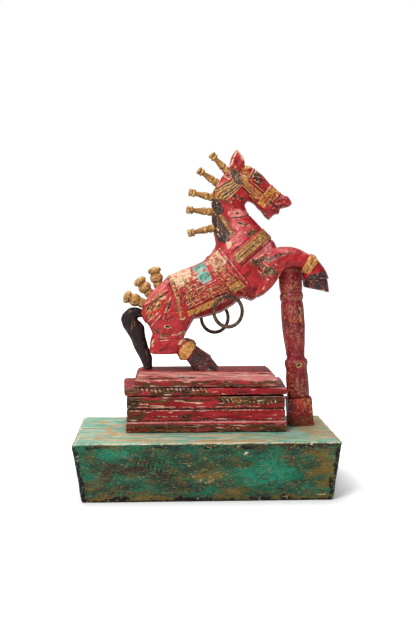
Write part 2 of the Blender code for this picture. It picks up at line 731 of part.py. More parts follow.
def build_ring(name, hanger, side, parts, material):
    """An oval wire ring with its origin in the middle of its top, where it swings."""
    (x, z), out = hanger
    drop = (RING_LENGTH - RING_WIRE) / 2
    reach = (RING_WIDTH - RING_WIRE) / 2

    def build(bm):
        sections = []
        for i in range(RING_STEPS):
            turn = math.tau * i / RING_STEPS
            centre = Vector((reach * math.sin(turn), 0, drop * math.cos(turn) - drop))
            outward = Vector((drop * math.sin(turn), 0, reach * math.cos(turn))).normalized()
            section = []
            for j in range(WIRE_SIDES):
                spin = math.tau * j / WIRE_SIDES
                offset = outward * math.cos(spin) + Vector((0, 1, 0)) * math.sin(spin)
                section.append(bm.verts.new(centre + offset * RING_WIRE / 2))
            sections.append(section)
        for i, section in enumerate(sections):
            following = sections[(i + 1) % RING_STEPS]
            for j in range(WIRE_SIDES):
                k = (j + 1) % WIRE_SIDES
                bm.faces.new((section[j], section[k], following[k], following[j]))

    ring = add_object(name, mesh_from(name, build), parts, material)
    ring.location = FIGURE_ORIGIN + figure_point(x, z, side * out)
    ring.data.shade_smooth()


def eye_loop_radius():
    return RING_WIRE / 2 + EYE_PLAY + EYE_WIRE / 2


def build_ring_eye(name, hanger, side, parts, cutters, material):
    """A wire loop round the ring's top on a shank that goes into the wood; returns its socket."""
    (x, z), out = hanger
    middle = figure_point(x, z, side * out)
    radius = eye_loop_radius()
    inward = Vector((0, -side, 0))
    up = Vector((0, 0, 1))
    shank_start = middle + up * radius
    rise = EYE_REACH * SHARE
    wood = middle + up * (radius + rise * EYE_SHANK_RISE) + inward * radius
    deep = wood + inward * (EYE_SHANK_DEPTH + radius)
    path = [shank_start, (shank_start + wood) / 2 + up * radius * EYE_SHANK_BOW, wood, deep]

    eye_mesh = mesh_from(name, lambda bm: wire_loop(bm, middle, radius, EYE_WIRE / 2))
    eye = on_figure(add_object(name, eye_mesh, parts, material))
    shank_mesh = mesh_from(f"{name}_shank", lambda bm: wire_run(bm, path, EYE_WIRE / 2))
    boolean(eye, "UNION", on_figure(add_helper(f"{name}_shank", shank_mesh, cutters)))
    eye.data.shade_smooth()
    socket_run = [wood - inward * EYE_WIRE, deep + inward * CLEARANCE]
    wall = EYE_WIRE / 2 + CLEARANCE
    socket_mesh = mesh_from(f"{name}_socket", lambda bm: wire_run(bm, socket_run, wall))
    return on_figure(add_helper(f"{name}_socket", socket_mesh, cutters))


def wire_loop(bm, centre, radius, wire, steps=EYE_STEPS, sides=WIRE_SIDES):
    """A closed wire circle in the YZ plane."""
    sections = []
    for i in range(steps):
        turn = math.tau * i / steps
        outward = Vector((0, math.sin(turn), math.cos(turn)))
        section = []
        for j in range(sides):
            spin = math.tau * j / sides
            offset = outward * math.cos(spin) + Vector((1, 0, 0)) * math.sin(spin)
            section.append(bm.verts.new(centre + outward * radius + offset * wire))
        sections.append(section)
    for i, section in enumerate(sections):
        following = sections[(i + 1) % steps]
        for j in range(sides):
            k = (j + 1) % sides
            bm.faces.new((section[j], section[k], following[k], following[j]))


def wire_run(bm, path, wire, sides=WIRE_SIDES):
    """A capped wire through the path's points, which lie in one YZ plane."""
    rings = []
    for i, point in enumerate(path):
        before = path[max(0, i - 1)]
        after = path[min(len(path) - 1, i + 1)]
        heading = (after - before).normalized()
        side = Vector((1, 0, 0))
        upward = heading.cross(side)
        spins = [math.tau * j / sides for j in range(sides)]
        rings.append([point + (side * math.cos(spin) + upward * math.sin(spin)) * wire for spin in spins])
    loft(bm, rings)


def finial_room(cutters):
    """The space of the lowest finial and a little round it, which the tail's root leaves free."""
    foot, head = (FIGURE_ORIGIN + figure_point(*point) for point in RUMP_FINIALS[-1])
    length = (head - foot).length
    profile = [
        (share * length, clear_radius(radius * SHARE, FINIAL_SIDES)) for share, radius in FINIAL_PROFILE
    ]
    profile.append((-FINIAL_SEAT - CLEARANCE, profile[-1][1]))
    room = add_helper("finial_room", turned_mesh("finial_room", profile), cutters)
    add_screw(room, FINIAL_SIDES)
    place_along(room, foot, head)
    return room


def build_tail(parts, cutters, material):
    tail = on_figure(add_object("tail", rib_mesh("tail", TAIL_RIBS), parts, material))
    boolean(tail, "DIFFERENCE", finial_room(cutters))
    shade_round(tail)
    socket = rib_mesh("tail_socket", TAIL_RIBS[:2], grow=CLEARANCE / SHARE)
    return on_figure(add_helper("tail_socket", socket, cutters))


def build_horse(parts, cutters, material, sockets):
    trunk = rib_mesh("horse", TRUNK_RIBS, sides=TRUNK_SIDES)
    horse = on_figure(add_object("horse", trunk, parts, material))
    boolean(horse, "UNION", on_figure(add_helper("muzzle", rib_mesh("muzzle", MUZZLE_RIBS), cutters)))
    boolean(horse, "UNION", harness_helper(cutters))
    for side in (-1, 1):
        for blank in limb_helpers(side, cutters):
            boolean(horse, "UNION", blank)
        boolean(horse, "DIFFERENCE", ear_hollow(side, cutters))
    boolean(horse, "DIFFERENCE", post_seat(cutters))
    for socket in sockets:
        boolean(horse, "DIFFERENCE", socket)
    shade_round(horse)


def build():
    parts, cutters = clear_scene()
    green = make_material("weathered green paint", srgb(22, 92, 74), 0.8)
    red = make_material("pedestal red paint", srgb(170, 45, 55), 0.7)
    post_red = make_material("post red paint", srgb(150, 35, 42), 0.6)
    horse_red = make_material("horse red paint", srgb(190, 30, 45), 0.6)
    gold = make_material("ochre gold paint", srgb(200, 150, 70), 0.6)
    black = make_material("worn black paint", srgb(45, 32, 30), 0.7)
    iron = make_material("rusted iron", srgb(105, 75, 55), 0.6, 0.8)
    build_plinth(parts, green)
    build_pedestal(parts, cutters, red)
    build_post(parts, cutters, post_red)
    sockets = [build_tail(parts, cutters, black)]
    sockets += build_turned_set(
        "mane_peg", MANE_PEGS, PEG_PROFILE, PEG_SEAT, PEG_SIDES, parts, cutters, gold
    )
    sockets += build_turned_set(
        "rump_finial", RUMP_FINIALS, FINIAL_PROFILE, FINIAL_SEAT, FINIAL_SIDES, parts, cutters, gold
    )
    for label, hanger, side in (("near", NEAR_RING, -1), ("far", FAR_RING, 1)):
        build_ring(f"ring_{label}", hanger, side, parts, iron)
        sockets.append(build_ring_eye(f"ring_eye_{label}", hanger, side, parts, cutters, iron))
    build_horse(parts, cutters, horse_red, sockets)


build()
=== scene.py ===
"""Looks of a carved and painted wooden horse rearing over a turned post, on a pedestal and a hewn plinth.

Each sub-assembly is a class that shapes its pieces and dresses them. The carving and the painted marks
of the side that faces the camera are placed by the pixels of the photograph, cast onto the wood, and the
other side repeats them in mirror image.
"""

import itertools
import logging
import math
from collections.abc import Iterable, Sequence
from dataclasses import dataclass
from enum import Enum

import bpy
import numpy as np
from mathutils import Matrix, Vector


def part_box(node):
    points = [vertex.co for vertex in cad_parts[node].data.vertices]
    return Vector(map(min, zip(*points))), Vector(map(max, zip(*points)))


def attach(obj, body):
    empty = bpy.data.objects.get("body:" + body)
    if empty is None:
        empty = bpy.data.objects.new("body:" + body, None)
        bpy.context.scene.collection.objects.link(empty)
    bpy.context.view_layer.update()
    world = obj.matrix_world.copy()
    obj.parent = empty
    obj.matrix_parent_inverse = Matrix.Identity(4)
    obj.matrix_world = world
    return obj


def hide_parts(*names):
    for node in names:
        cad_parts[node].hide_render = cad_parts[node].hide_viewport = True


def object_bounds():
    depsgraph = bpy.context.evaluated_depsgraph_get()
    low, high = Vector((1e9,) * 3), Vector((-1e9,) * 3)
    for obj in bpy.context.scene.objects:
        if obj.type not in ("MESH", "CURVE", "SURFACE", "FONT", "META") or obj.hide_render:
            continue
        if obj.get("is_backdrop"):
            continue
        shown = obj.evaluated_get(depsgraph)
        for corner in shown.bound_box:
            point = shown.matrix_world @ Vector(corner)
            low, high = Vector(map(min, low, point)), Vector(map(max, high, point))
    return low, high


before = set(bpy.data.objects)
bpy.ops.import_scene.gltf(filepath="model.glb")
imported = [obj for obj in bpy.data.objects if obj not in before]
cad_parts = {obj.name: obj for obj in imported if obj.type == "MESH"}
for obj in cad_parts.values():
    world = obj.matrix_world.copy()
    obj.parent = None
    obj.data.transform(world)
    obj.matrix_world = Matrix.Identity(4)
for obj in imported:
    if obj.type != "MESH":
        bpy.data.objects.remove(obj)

LOG = logging.getLogger("wooden_horse")
MM = 0.001
PEDESTAL_MIDDLE_Y = 0.0315
SLAB_TOP = 0.1665

JOIN_DISTANCE = 0.02 * MM
FLAT_ANGLE = math.radians(0.4)
SMOOTH_ANGLE = math.radians(50)
EDGE_CUTS_MM = (0.7, 1.6)
THINNEST_RADIUS = 0.4 * MM
RING_SIDES, PEG_SIDES, SHAFT_SIDES = (96, 20), 36, 64
PROFILE_STEPS = 3
# How a painted line strays: pixels of the photograph, size of a bend in millimetres, seed
HAND_WAVER = ((0.4, 9.0, 21), (0.22, 3.2, 33))

Point = tuple[float, float]


class Tint(Enum):
    """The painted areas of a piece and the places its shape marks out, each one attribute of its mesh."""

    GOLD = "gold"
    CREAM = "cream"
    DARK = "dark"
    # Pink of worn paint together with a painted highlight where faces catch the light
    BLUSH = "blush"
    PANEL = "panel"
    TEAL = "teal"
    MANE = "mane"
    HOOF = "hoof"
    OCHRE = "ochre"
    UMBER = "umber"
    RIDGE = "ridge"
    HOLLOW = "hollow"
    FACING_UP = "facing_up"
    # Faces turned down, which take painted shade
    SHADED_UNDERSIDE = "shaded_underside"


class Pattern(Enum):
    """How a coat breaks up over the coats below it."""

    PATCHES = "patches"
    LINES = "lines"


def linear(hex_colour: str) -> tuple[float, float, float, float]:
    """Turn an sRGB hex colour into a linear one.

    Args:
        hex_colour: Six hex digits after a hash sign.

    Returns:
        Linear red, green and blue, and an alpha of one.
    """
    values = [int(hex_colour[i : i + 2], 16) / 255 for i in (1, 3, 5)]
    red, green, blue = (v / 12.92 if v <= 0.04045 else ((v + 0.055) / 1.055) ** 2.4 for v in values)
    return red, green, blue, 1.0


def add_node(tree: bpy.types.NodeTree, kind: str, inputs: dict, out: int = 0, **settings: object) -> object:
    """Add one node with its settings, values and links.

    Args:
        tree: The node tree of a material or world.
        kind: Blender's name for the kind of node.
        inputs: Socket name or number, with a value for it or an output socket to link.
        out: Which output to return.
        **settings: Properties of the node itself.

    Returns:
        The chosen output socket, or the node where it has no outputs.
    """
    node = tree.nodes.new(kind)
    for name, value in settings.items():
        setattr(node, name, value)
    for key, value in inputs.items():
        if isinstance(value, bpy.types.NodeSocket):
            tree.links.new(value, node.inputs[key])
        else:
            node.inputs[key].default_value = value
    return node.outputs[out] if node.outputs else node


def empty_tree(owner: bpy.types.Material | bpy.types.World) -> bpy.types.NodeTree:
    """Give a material or world nodes and take out the ones it comes with."""
    owner.use_nodes = True
    owner.node_tree.nodes.clear()
    return owner.node_tree


def cell_noise(points: np.ndarray, size: float, seed: int) -> np.ndarray:
    """Smooth random values over space, the same at every run.

    Args:
        points: Places, one row each.
        size: Distance over which the value changes, in the places' own unit.
        seed: Picks another pattern.

    Returns:
        One value from -1 to 1 for each place.
    """
    scaled = points / size + seed * 7.13
    cell = np.floor(scaled).astype(np.int64)
    share = scaled - cell
    share = share * share * (3 - 2 * share)
    total = np.zeros(len(points))
    for corner in itertools.product((0, 1), repeat=3):
        mixed = (cell + corner) @ np.array((73856093, 19349663, 83492791)) + seed * 2654435
        mixed = (mixed ^ (mixed >> 13)) * 1274126177 & 0x7FFFFFFF
        mixed = (mixed ^ (mixed >> 15)) & 0xFFFF
        weight = np.prod(np.where(corner, share, 1 - share), axis=1)
        total += weight * (mixed / 32767.5 - 1)
    return total


def smooth_step(values: np.ndarray, low: float, high: float) -> np.ndarray:
    """Rise smoothly from 0 at low to 1 at high."""
    share = np.clip((values - low) / (high - low), 0, 1)
    return share * share * (3 - 2 * share)


@dataclass(frozen=True)
class PhotoCamera:
    """The camera at the photograph's place, and where it sees a point of the object."""

    place: tuple[float, float, float] = (-0.0565, -1.307, 0.3327)
    pitch: float = math.radians(3.5)
    yaw: float = math.radians(2.7)
    focal_px: float = 900.0
    width_px: int = 416
    height_px: int = 624

    def pixels(self, points: np.ndarray) -> tuple[np.ndarray, np.ndarray]:
        """Cast points into the photograph.

        Args:
            points: Places in metres, one row each.

        Returns:
            Across and down, in pixels from the photograph's top left corner.
        """
        level = math.cos(self.pitch)
        forward = np.array((math.sin(self.yaw) * level, math.cos(self.yaw) * level, -math.sin(self.pitch)))
        right = np.array((math.cos(self.yaw), -math.sin(self.yaw), 0.0))
        up = np.cross(right, forward)
        ray = points - np.array(self.place)
        depth = ray @ forward
        across = self.width_px / 2 + self.focal_px * (ray @ right) / depth
        down = self.height_px / 2 - self.focal_px * (ray @ up) / depth
        return across, down

    def add(self) -> None:
        """Put the camera in the scene."""
        data = bpy.data.cameras.new("photo_camera")
        data.lens = self.focal_px / self.height_px * data.sensor_width
        camera = bpy.data.objects.new("photo_camera", data)
        camera.location = self.place
        camera.rotation_euler = (math.pi / 2 - self.pitch, 0, -self.yaw)
        bpy.context.scene.collection.objects.link(camera)
        bpy.context.scene.camera = camera


CAMERA = PhotoCamera()


@dataclass(frozen=True)
class Stroke:
    """A straight painted or carved line between two pixels of the photograph."""

    start: Point
    end: Point
    half: float
    tint: Tint | None = None
    lift: float = 0.0
    strength: float = 1.0

    def cover(self, u: np.ndarray, v: np.ndarray) -> np.ndarray:
        """How much of each place the line covers, from 0 to 1."""
        (u0, v0), (u1, v1) = self.start, self.end
        along = np.clip(((u - u0) * (u1 - u0) + (v - v0) * (v1 - v0)) / ((u1 - u0) ** 2 + (v1 - v0) ** 2), 0, 1)
        away = np.hypot(u - u0 - along * (u1 - u0), v - v0 - along * (v1 - v0))
        return 1 - smooth_step(away, self.half * 0.55, self.half * 1.35)


@dataclass(frozen=True)
class Spot:
    """An oval mark, with its half length, half width and turn in degrees, in the photograph's pixels."""

    centre: Point
    radii: Point
    turn: float = 0.0
    tint: Tint | None = None
    lift: float = 0.0
    strength: float = 1.0

    def cover(self, u: np.ndarray, v: np.ndarray) -> np.ndarray:
        """How much of each place the mark covers, from 0 to 1."""
        cosine, sine = math.cos(math.radians(self.turn)), math.sin(math.radians(self.turn))
        du, dv = u - self.centre[0], v - self.centre[1]
        away = np.hypot((du * cosine + dv * sine) / self.radii[0], (dv * cosine - du * sine) / self.radii[1])
        soft = min(0.45, 0.7 / min(self.radii))
        return 1 - smooth_step(away, 1 - soft, 1 + soft)


@dataclass(frozen=True)
class Patch:
    """An area with straight sides that bulge outwards only, its corners in the photograph's pixels."""

    corners: tuple[Point, ...]
    tint: Tint | None = None
    lift: float = 0.0
    strength: float = 1.0

    def cover(self, u: np.ndarray, v: np.ndarray) -> np.ndarray:
        """How much of each place the area covers, from 0 to 1."""
        corners = np.array(self.corners)
        ends = np.roll(corners, -1, axis=0)
        turn = np.sign(np.sum(corners[:, 0] * ends[:, 1] - ends[:, 0] * corners[:, 1]))
        outside = np.full(len(u), -1e9)
        for (u0, v0), (u1, v1) in zip(corners, ends):
            length = math.hypot(u1 - u0, v1 - v0)
            outside = np.maximum(outside, turn * ((u - u0) * (v1 - v0) - (v - v0) * (u1 - u0)) / length)
        return 1 - smooth_step(outside, -0.8, 0.8)


Mark = Stroke | Spot | Patch


class Skin:
    """The points of one piece while it is carved and painted, mirrored to the camera's side for its marks."""

    def __init__(self, piece: bpy.types.Object, middle_y: float = PEDESTAL_MIDDLE_Y) -> None:
        """Read the piece.

        Args:
            piece: The mesh object to work on.
            middle_y: The plane that the marks are mirrored in.
        """
        self.mesh = piece.data
        self.middle_y = middle_y
        count = len(self.mesh.vertices)
        edges = np.empty(len(self.mesh.edges) * 2, np.int64)
        self.mesh.edges.foreach_get("vertices", edges)
        self.edges = edges.reshape(-1, 2)
        self.degree = np.maximum(np.bincount(edges, minlength=count), 1)
        self.points = np.empty((count, 3))
        self.normals = np.empty((count, 3))
        self.masks: dict[Tint, np.ndarray] = {}
        self.refresh()

    def refresh(self) -> None:
        """Read the places and normals again and cast them into the photograph."""
        count = len(self.mesh.vertices)
        flat = np.empty(count * 3, np.float32)
        self.mesh.vertices.foreach_get("co", flat)
        self.points = flat.reshape(-1, 3).astype(float)
        flat = np.empty(count * 3, np.float32)
        self.mesh.vertex_normals.foreach_get("vector", flat)
        self.normals = flat.reshape(-1, 3).astype(float)
        seen = self.points.copy()
        seen[:, 1] = self.middle_y - np.abs(seen[:, 1] - self.middle_y)
        self.u, self.v = CAMERA.pixels(seen)
        for waver, size_mm, seed in HAND_WAVER:
            self.u += waver * cell_noise(self.points, size_mm * MM, seed)
            self.v += waver * cell_noise(self.points, size_mm * MM, seed + 1)
        self.lift = np.zeros(count)

    def average(self, values: np.ndarray) -> np.ndarray:
        """Mean over each point's neighbours."""
        first, second = self.edges.T
        count = len(self.points)
        columns = values.reshape(count, -1)
        sums = [
            np.bincount(first, column[second], count) + np.bincount(second, column[first], count)
            for column in columns.T
        ]
        return (np.stack(sums, axis=1) / self.degree[:, None]).reshape(values.shape)

    def soften(self, strength: np.ndarray, rounds: int) -> None:
        """Round off facets and steps and keep the bulk.

        Args:
            strength: From 0 to 1 for each point.
            rounds: How far it reaches.
        """
        for _ in range(rounds):
            for push in (0.62, -0.58):
                self.points += push * strength[:, None] * (self.average(self.points) - self.points)
        self.write()

    def apply(self, marks: Iterable[Mark], where: np.ndarray | float = 1.0) -> None:
        """Carve and paint marks.

        Args:
            marks: Lines, spots and areas.
            where: From 0 to 1 for each point, the part of the piece that takes them.
        """
        for mark in marks:
            cover = mark.cover(self.u, self.v) * where
            self.lift += cover * mark.lift
            if mark.tint:
                held = self.masks.get(mark.tint, 0.0)
                self.masks[mark.tint] = np.maximum(held, cover * mark.strength)

    def wave(self, size_mm: float, height_mm: float, seed: int, where: np.ndarray | float = 1.0) -> None:
        """Add an uneven hand-cut surface of a given size and height."""
        self.lift += cell_noise(self.points, size_mm * MM, seed) * height_mm * where

    def write(self) -> None:
        """Put the places in the mesh and read its new normals."""
        self.mesh.vertices.foreach_set("co", self.points.astype(np.float32).ravel())
        self.mesh.update()
        self.refresh()

    def carve(self) -> None:
        """Move every point by its lift, in millimetres along its normal."""
        self.points += self.normals * (self.lift * MM)[:, None]
        self.write()

    def note_edges(self, ridge_mm: float, reach: int) -> None:
        """Keep as masks which places stand proud and which lie deep, and which face up and down for a painted
        highlight on top and painted shade underneath.

        Args:
            ridge_mm: How proud a place is for a full mask.
            reach: How many times the masks are spread.
        """
        smooth = self.points
        for _ in range(reach):
            smooth = self.average(smooth)
        proud = np.sum((self.points - smooth) * self.normals, axis=1) / (ridge_mm * MM)
        self.masks[Tint.RIDGE] = np.clip(proud, 0, 1)
        self.masks[Tint.HOLLOW] = np.clip(-proud, 0, 1)
        # Faces turned up take a painted highlight and faces turned down take painted shade
        self.masks[Tint.FACING_UP] = smooth_step(self.normals[:, 2], 0.25, 0.85)
        self.masks[Tint.SHADED_UNDERSIDE] = smooth_step(-self.normals[:, 2], -0.1, 0.8)

    def spread(self, mask: np.ndarray, rounds: int) -> np.ndarray:
        """Widen a mask by whole rows of points."""
        first, second = self.edges.T
        for _ in range(rounds):
            wider = mask.copy()
            np.maximum.at(wider, first, mask[second])
            np.maximum.at(wider, second, mask[first])
            mask = wider
        return mask

    def feather(self, tint: Tint, rounds: int, keep_lines: bool = False) -> None:
        """Let a painted area fade out at its border, and keep its thin lines full where asked."""
        painted = self.masks[tint]
        faded = painted
        for _ in range(rounds):
            faded = self.average(faded)
        self.masks[tint] = np.maximum(painted, faded) if keep_lines else faded

    def keep_masks(self) -> None:
        """Write every mask as an attribute, an empty one where the piece has none."""
        for tint in Tint:
            values = self.masks.get(tint, np.zeros(len(self.points)))
            attribute = self.mesh.attributes.new(tint.value, "FLOAT", "POINT")
            attribute.data.foreach_set("value", np.clip(values, 0, 1).astype(np.float32))

    def stay_inside(self, node: str) -> None:
        """Keep the piece within the box of its solid."""
        low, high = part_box(node)
        self.points = np.clip(self.points, np.array(low), np.array(high))
        self.write()


def select_only(piece: bpy.types.Object) -> None:
    """Make a piece the one selected and active object."""
    bpy.ops.object.select_all(action="DESELECT")
    piece.select_set(True)
    bpy.context.view_layer.objects.active = piece


def edit_all(piece: bpy.types.Object) -> None:
    """Open a piece in edit mode with all of its mesh selected."""
    select_only(piece)
    bpy.ops.object.mode_set(mode="EDIT")
    bpy.ops.mesh.select_all(action="SELECT")


def copy_node(node: str, name: str) -> bpy.types.Object:
    """Copy a solid's mesh as a new piece and join its loose triangles.

    Args:
        node: The solid to copy.
        name: The new piece's name.

    Returns:
        The new piece.
    """
    piece = bpy.data.objects.new(name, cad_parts[node].data.copy())
    bpy.context.scene.collection.objects.link(piece)
    piece.data.materials.clear()
    edit_all(piece)
    bpy.ops.mesh.remove_doubles(threshold=JOIN_DISTANCE)
    bpy.ops.object.mode_set(mode="OBJECT")
    return piece


def voxel_skin(piece: bpy.types.Object, voxel_mm: float) -> None:
    """Cover a piece with an even skin of small squares, fine enough to carve."""
    select_only(piece)
    remesh = piece.modifiers.new("even skin", "REMESH")
    remesh.mode = "VOXEL"
    remesh.voxel_size = voxel_mm * MM
    bpy.ops.object.modifier_apply(modifier=remesh.name)


def cut_lattice(piece: bpy.types.Object, spacing_mm: float) -> None:
    """Cut flat boards into small squares and keep their edges sharp."""
    corners = np.array([v.co for v in piece.data.vertices])
    low, high = corners.min(axis=0), corners.max(axis=0)
    edit_all(piece)
    bpy.ops.mesh.dissolve_limited(angle_limit=FLAT_ANGLE)
    for axis in range(3):
        count = max(1, round((high[axis] - low[axis]) / (spacing_mm * MM)))
        normal = [0.0, 0.0, 0.0]
        normal[axis] = 1.0
        evenly = [low[axis] + (high[axis] - low[axis]) * i / count for i in range(1, count)]
        near = [place for step in EDGE_CUTS_MM for place in (low[axis] + step * MM, high[axis] - step * MM)]
        for level in (*near, *evenly):
            place = [0.0, 0.0, 0.0]
            place[axis] = level
            bpy.ops.mesh.select_all(action="SELECT")
            bpy.ops.mesh.bisect(plane_co=place, plane_no=normal)
    bpy.ops.object.mode_set(mode="OBJECT")


def apply_subdivision(piece: bpy.types.Object, levels: int) -> None:
    """Round a piece with Subdivision Surface."""
    select_only(piece)
    subdivision = piece.modifiers.new("rounding", "SUBSURF")
    subdivision.levels = levels
    subdivision.render_levels = levels
    bpy.ops.object.modifier_apply(modifier=subdivision.name)


def ease(profile: Sequence[Point], steps: int) -> list[Point]:
    """Run a smooth line through a turner's measurements.

    Args:
        profile: Height and radius from foot to head.
        steps: How many parts each stretch is cut into.

    Returns:
        The finer profile, which still goes through every measurement.
    """
    points = np.array([profile[0], *profile, profile[-1]])
    eased: list[Point] = []
    for before, low, high, after in zip(points, points[1:], points[2:], points[3:]):
        for share in np.arange(steps) / steps:
            bend = (high - before) / 2 * share + (2 * before - 5 * low + 4 * high - after) / 2 * share**2
            bend = bend + (3 * low - before - 3 * high + after) / 2 * share**3
            height = low[0] + (high[0] - low[0]) * share
            eased.append((float(height), float(max(low[1] + bend[1], THINNEST_RADIUS))))
    return [*eased, tuple(float(v) for v in points[-1])]


def turn_on_lathe(name: str, profile: Sequence[Point], sides: int) -> bpy.types.Object:
    """Turn a piece about the Z axis.

    Args:
        name: The piece's name.
        profile: Height and radius from foot to head, in metres.
        sides: Corners of each round.

    Returns:
        The turned piece, standing at the origin.
    """
    bpy.ops.object.select_all(action="DESELECT")
    height, radius = profile[0]
    bpy.ops.mesh.primitive_circle_add(vertices=sides, radius=radius, fill_type="NGON", location=(0, 0, height))
    piece = bpy.context.active_object
    piece.name = name
    bpy.ops.object.transform_apply(location=True, rotation=True, scale=True)
    edit_all(piece)
    for (low, inner), (high, outer) in itertools.pairwise(profile):
        bpy.ops.mesh.extrude_region_move(TRANSFORM_OT_translate={"value": (0, 0, high - low)})
        share = outer / inner
        bpy.ops.transform.resize(value=(share, share, 1))
    bpy.ops.mesh.select_all(action="SELECT")
    bpy.ops.mesh.normals_make_consistent(inside=False)
    bpy.ops.object.mode_set(mode="OBJECT")
    return piece


def stand_between(piece: bpy.types.Object, foot: Vector, head: Vector) -> None:
    """Put a piece's Z axis on a line from foot towards head, in its mesh."""
    turn = (head - foot).to_track_quat("Z", "Y").to_matrix().to_4x4()
    piece.data.transform(Matrix.Translation(foot) @ turn)
    piece.data.update()


def finish_piece(
    piece: bpy.types.Object, skin: Skin, finish: "PaintFinish", nodes: Sequence[str], body: str = "carving"
) -> None:
    """Keep a piece's masks, dress it, let it stand for its solids and ride on its body.

    Args:
        piece: The finished mesh object.
        skin: Its points and masks.
        finish: Its paint.
        nodes: The solids that it stands for.
        body: The body that carries it.
    """
    skin.keep_masks()
    select_only(piece)
    bpy.ops.object.shade_smooth_by_angle(angle=SMOOTH_ANGLE)
    piece.data.materials.clear()
    piece.data.materials.append(finish.material())
    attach(piece, body)
    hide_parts(*nodes)
    LOG.info("%s: %d faces", piece.name, len(piece.data.polygons))


EVEN = (1.0, 1.0, 1.0)
GROUND_SHADE_MM = 22.0
SHEEN_MM = 5.0
COAT_SHIFT = 0.053
LINE_DETAIL = 0.8


@dataclass(frozen=True)
class Coat:
    """One coat of paint, wear, dirt, painted highlight or painted shade over what is below it.

    The share is how much of its area it covers, and the area is a painted mask or the whole piece.
    """

    colour: str
    patch_mm: float
    share: float
    soft: float = 0.04
    where: Tint | None = None
    hold: float = 0.6
    opacity: float = 1.0
    stretch: float = 1.0
    pattern: Pattern = Pattern.PATCHES
    relief: float = 0.0

    @property
    def level(self) -> float:
        """The noise value above which the coat shows."""
        return 0.5 + (0.5 - self.share) * 0.34


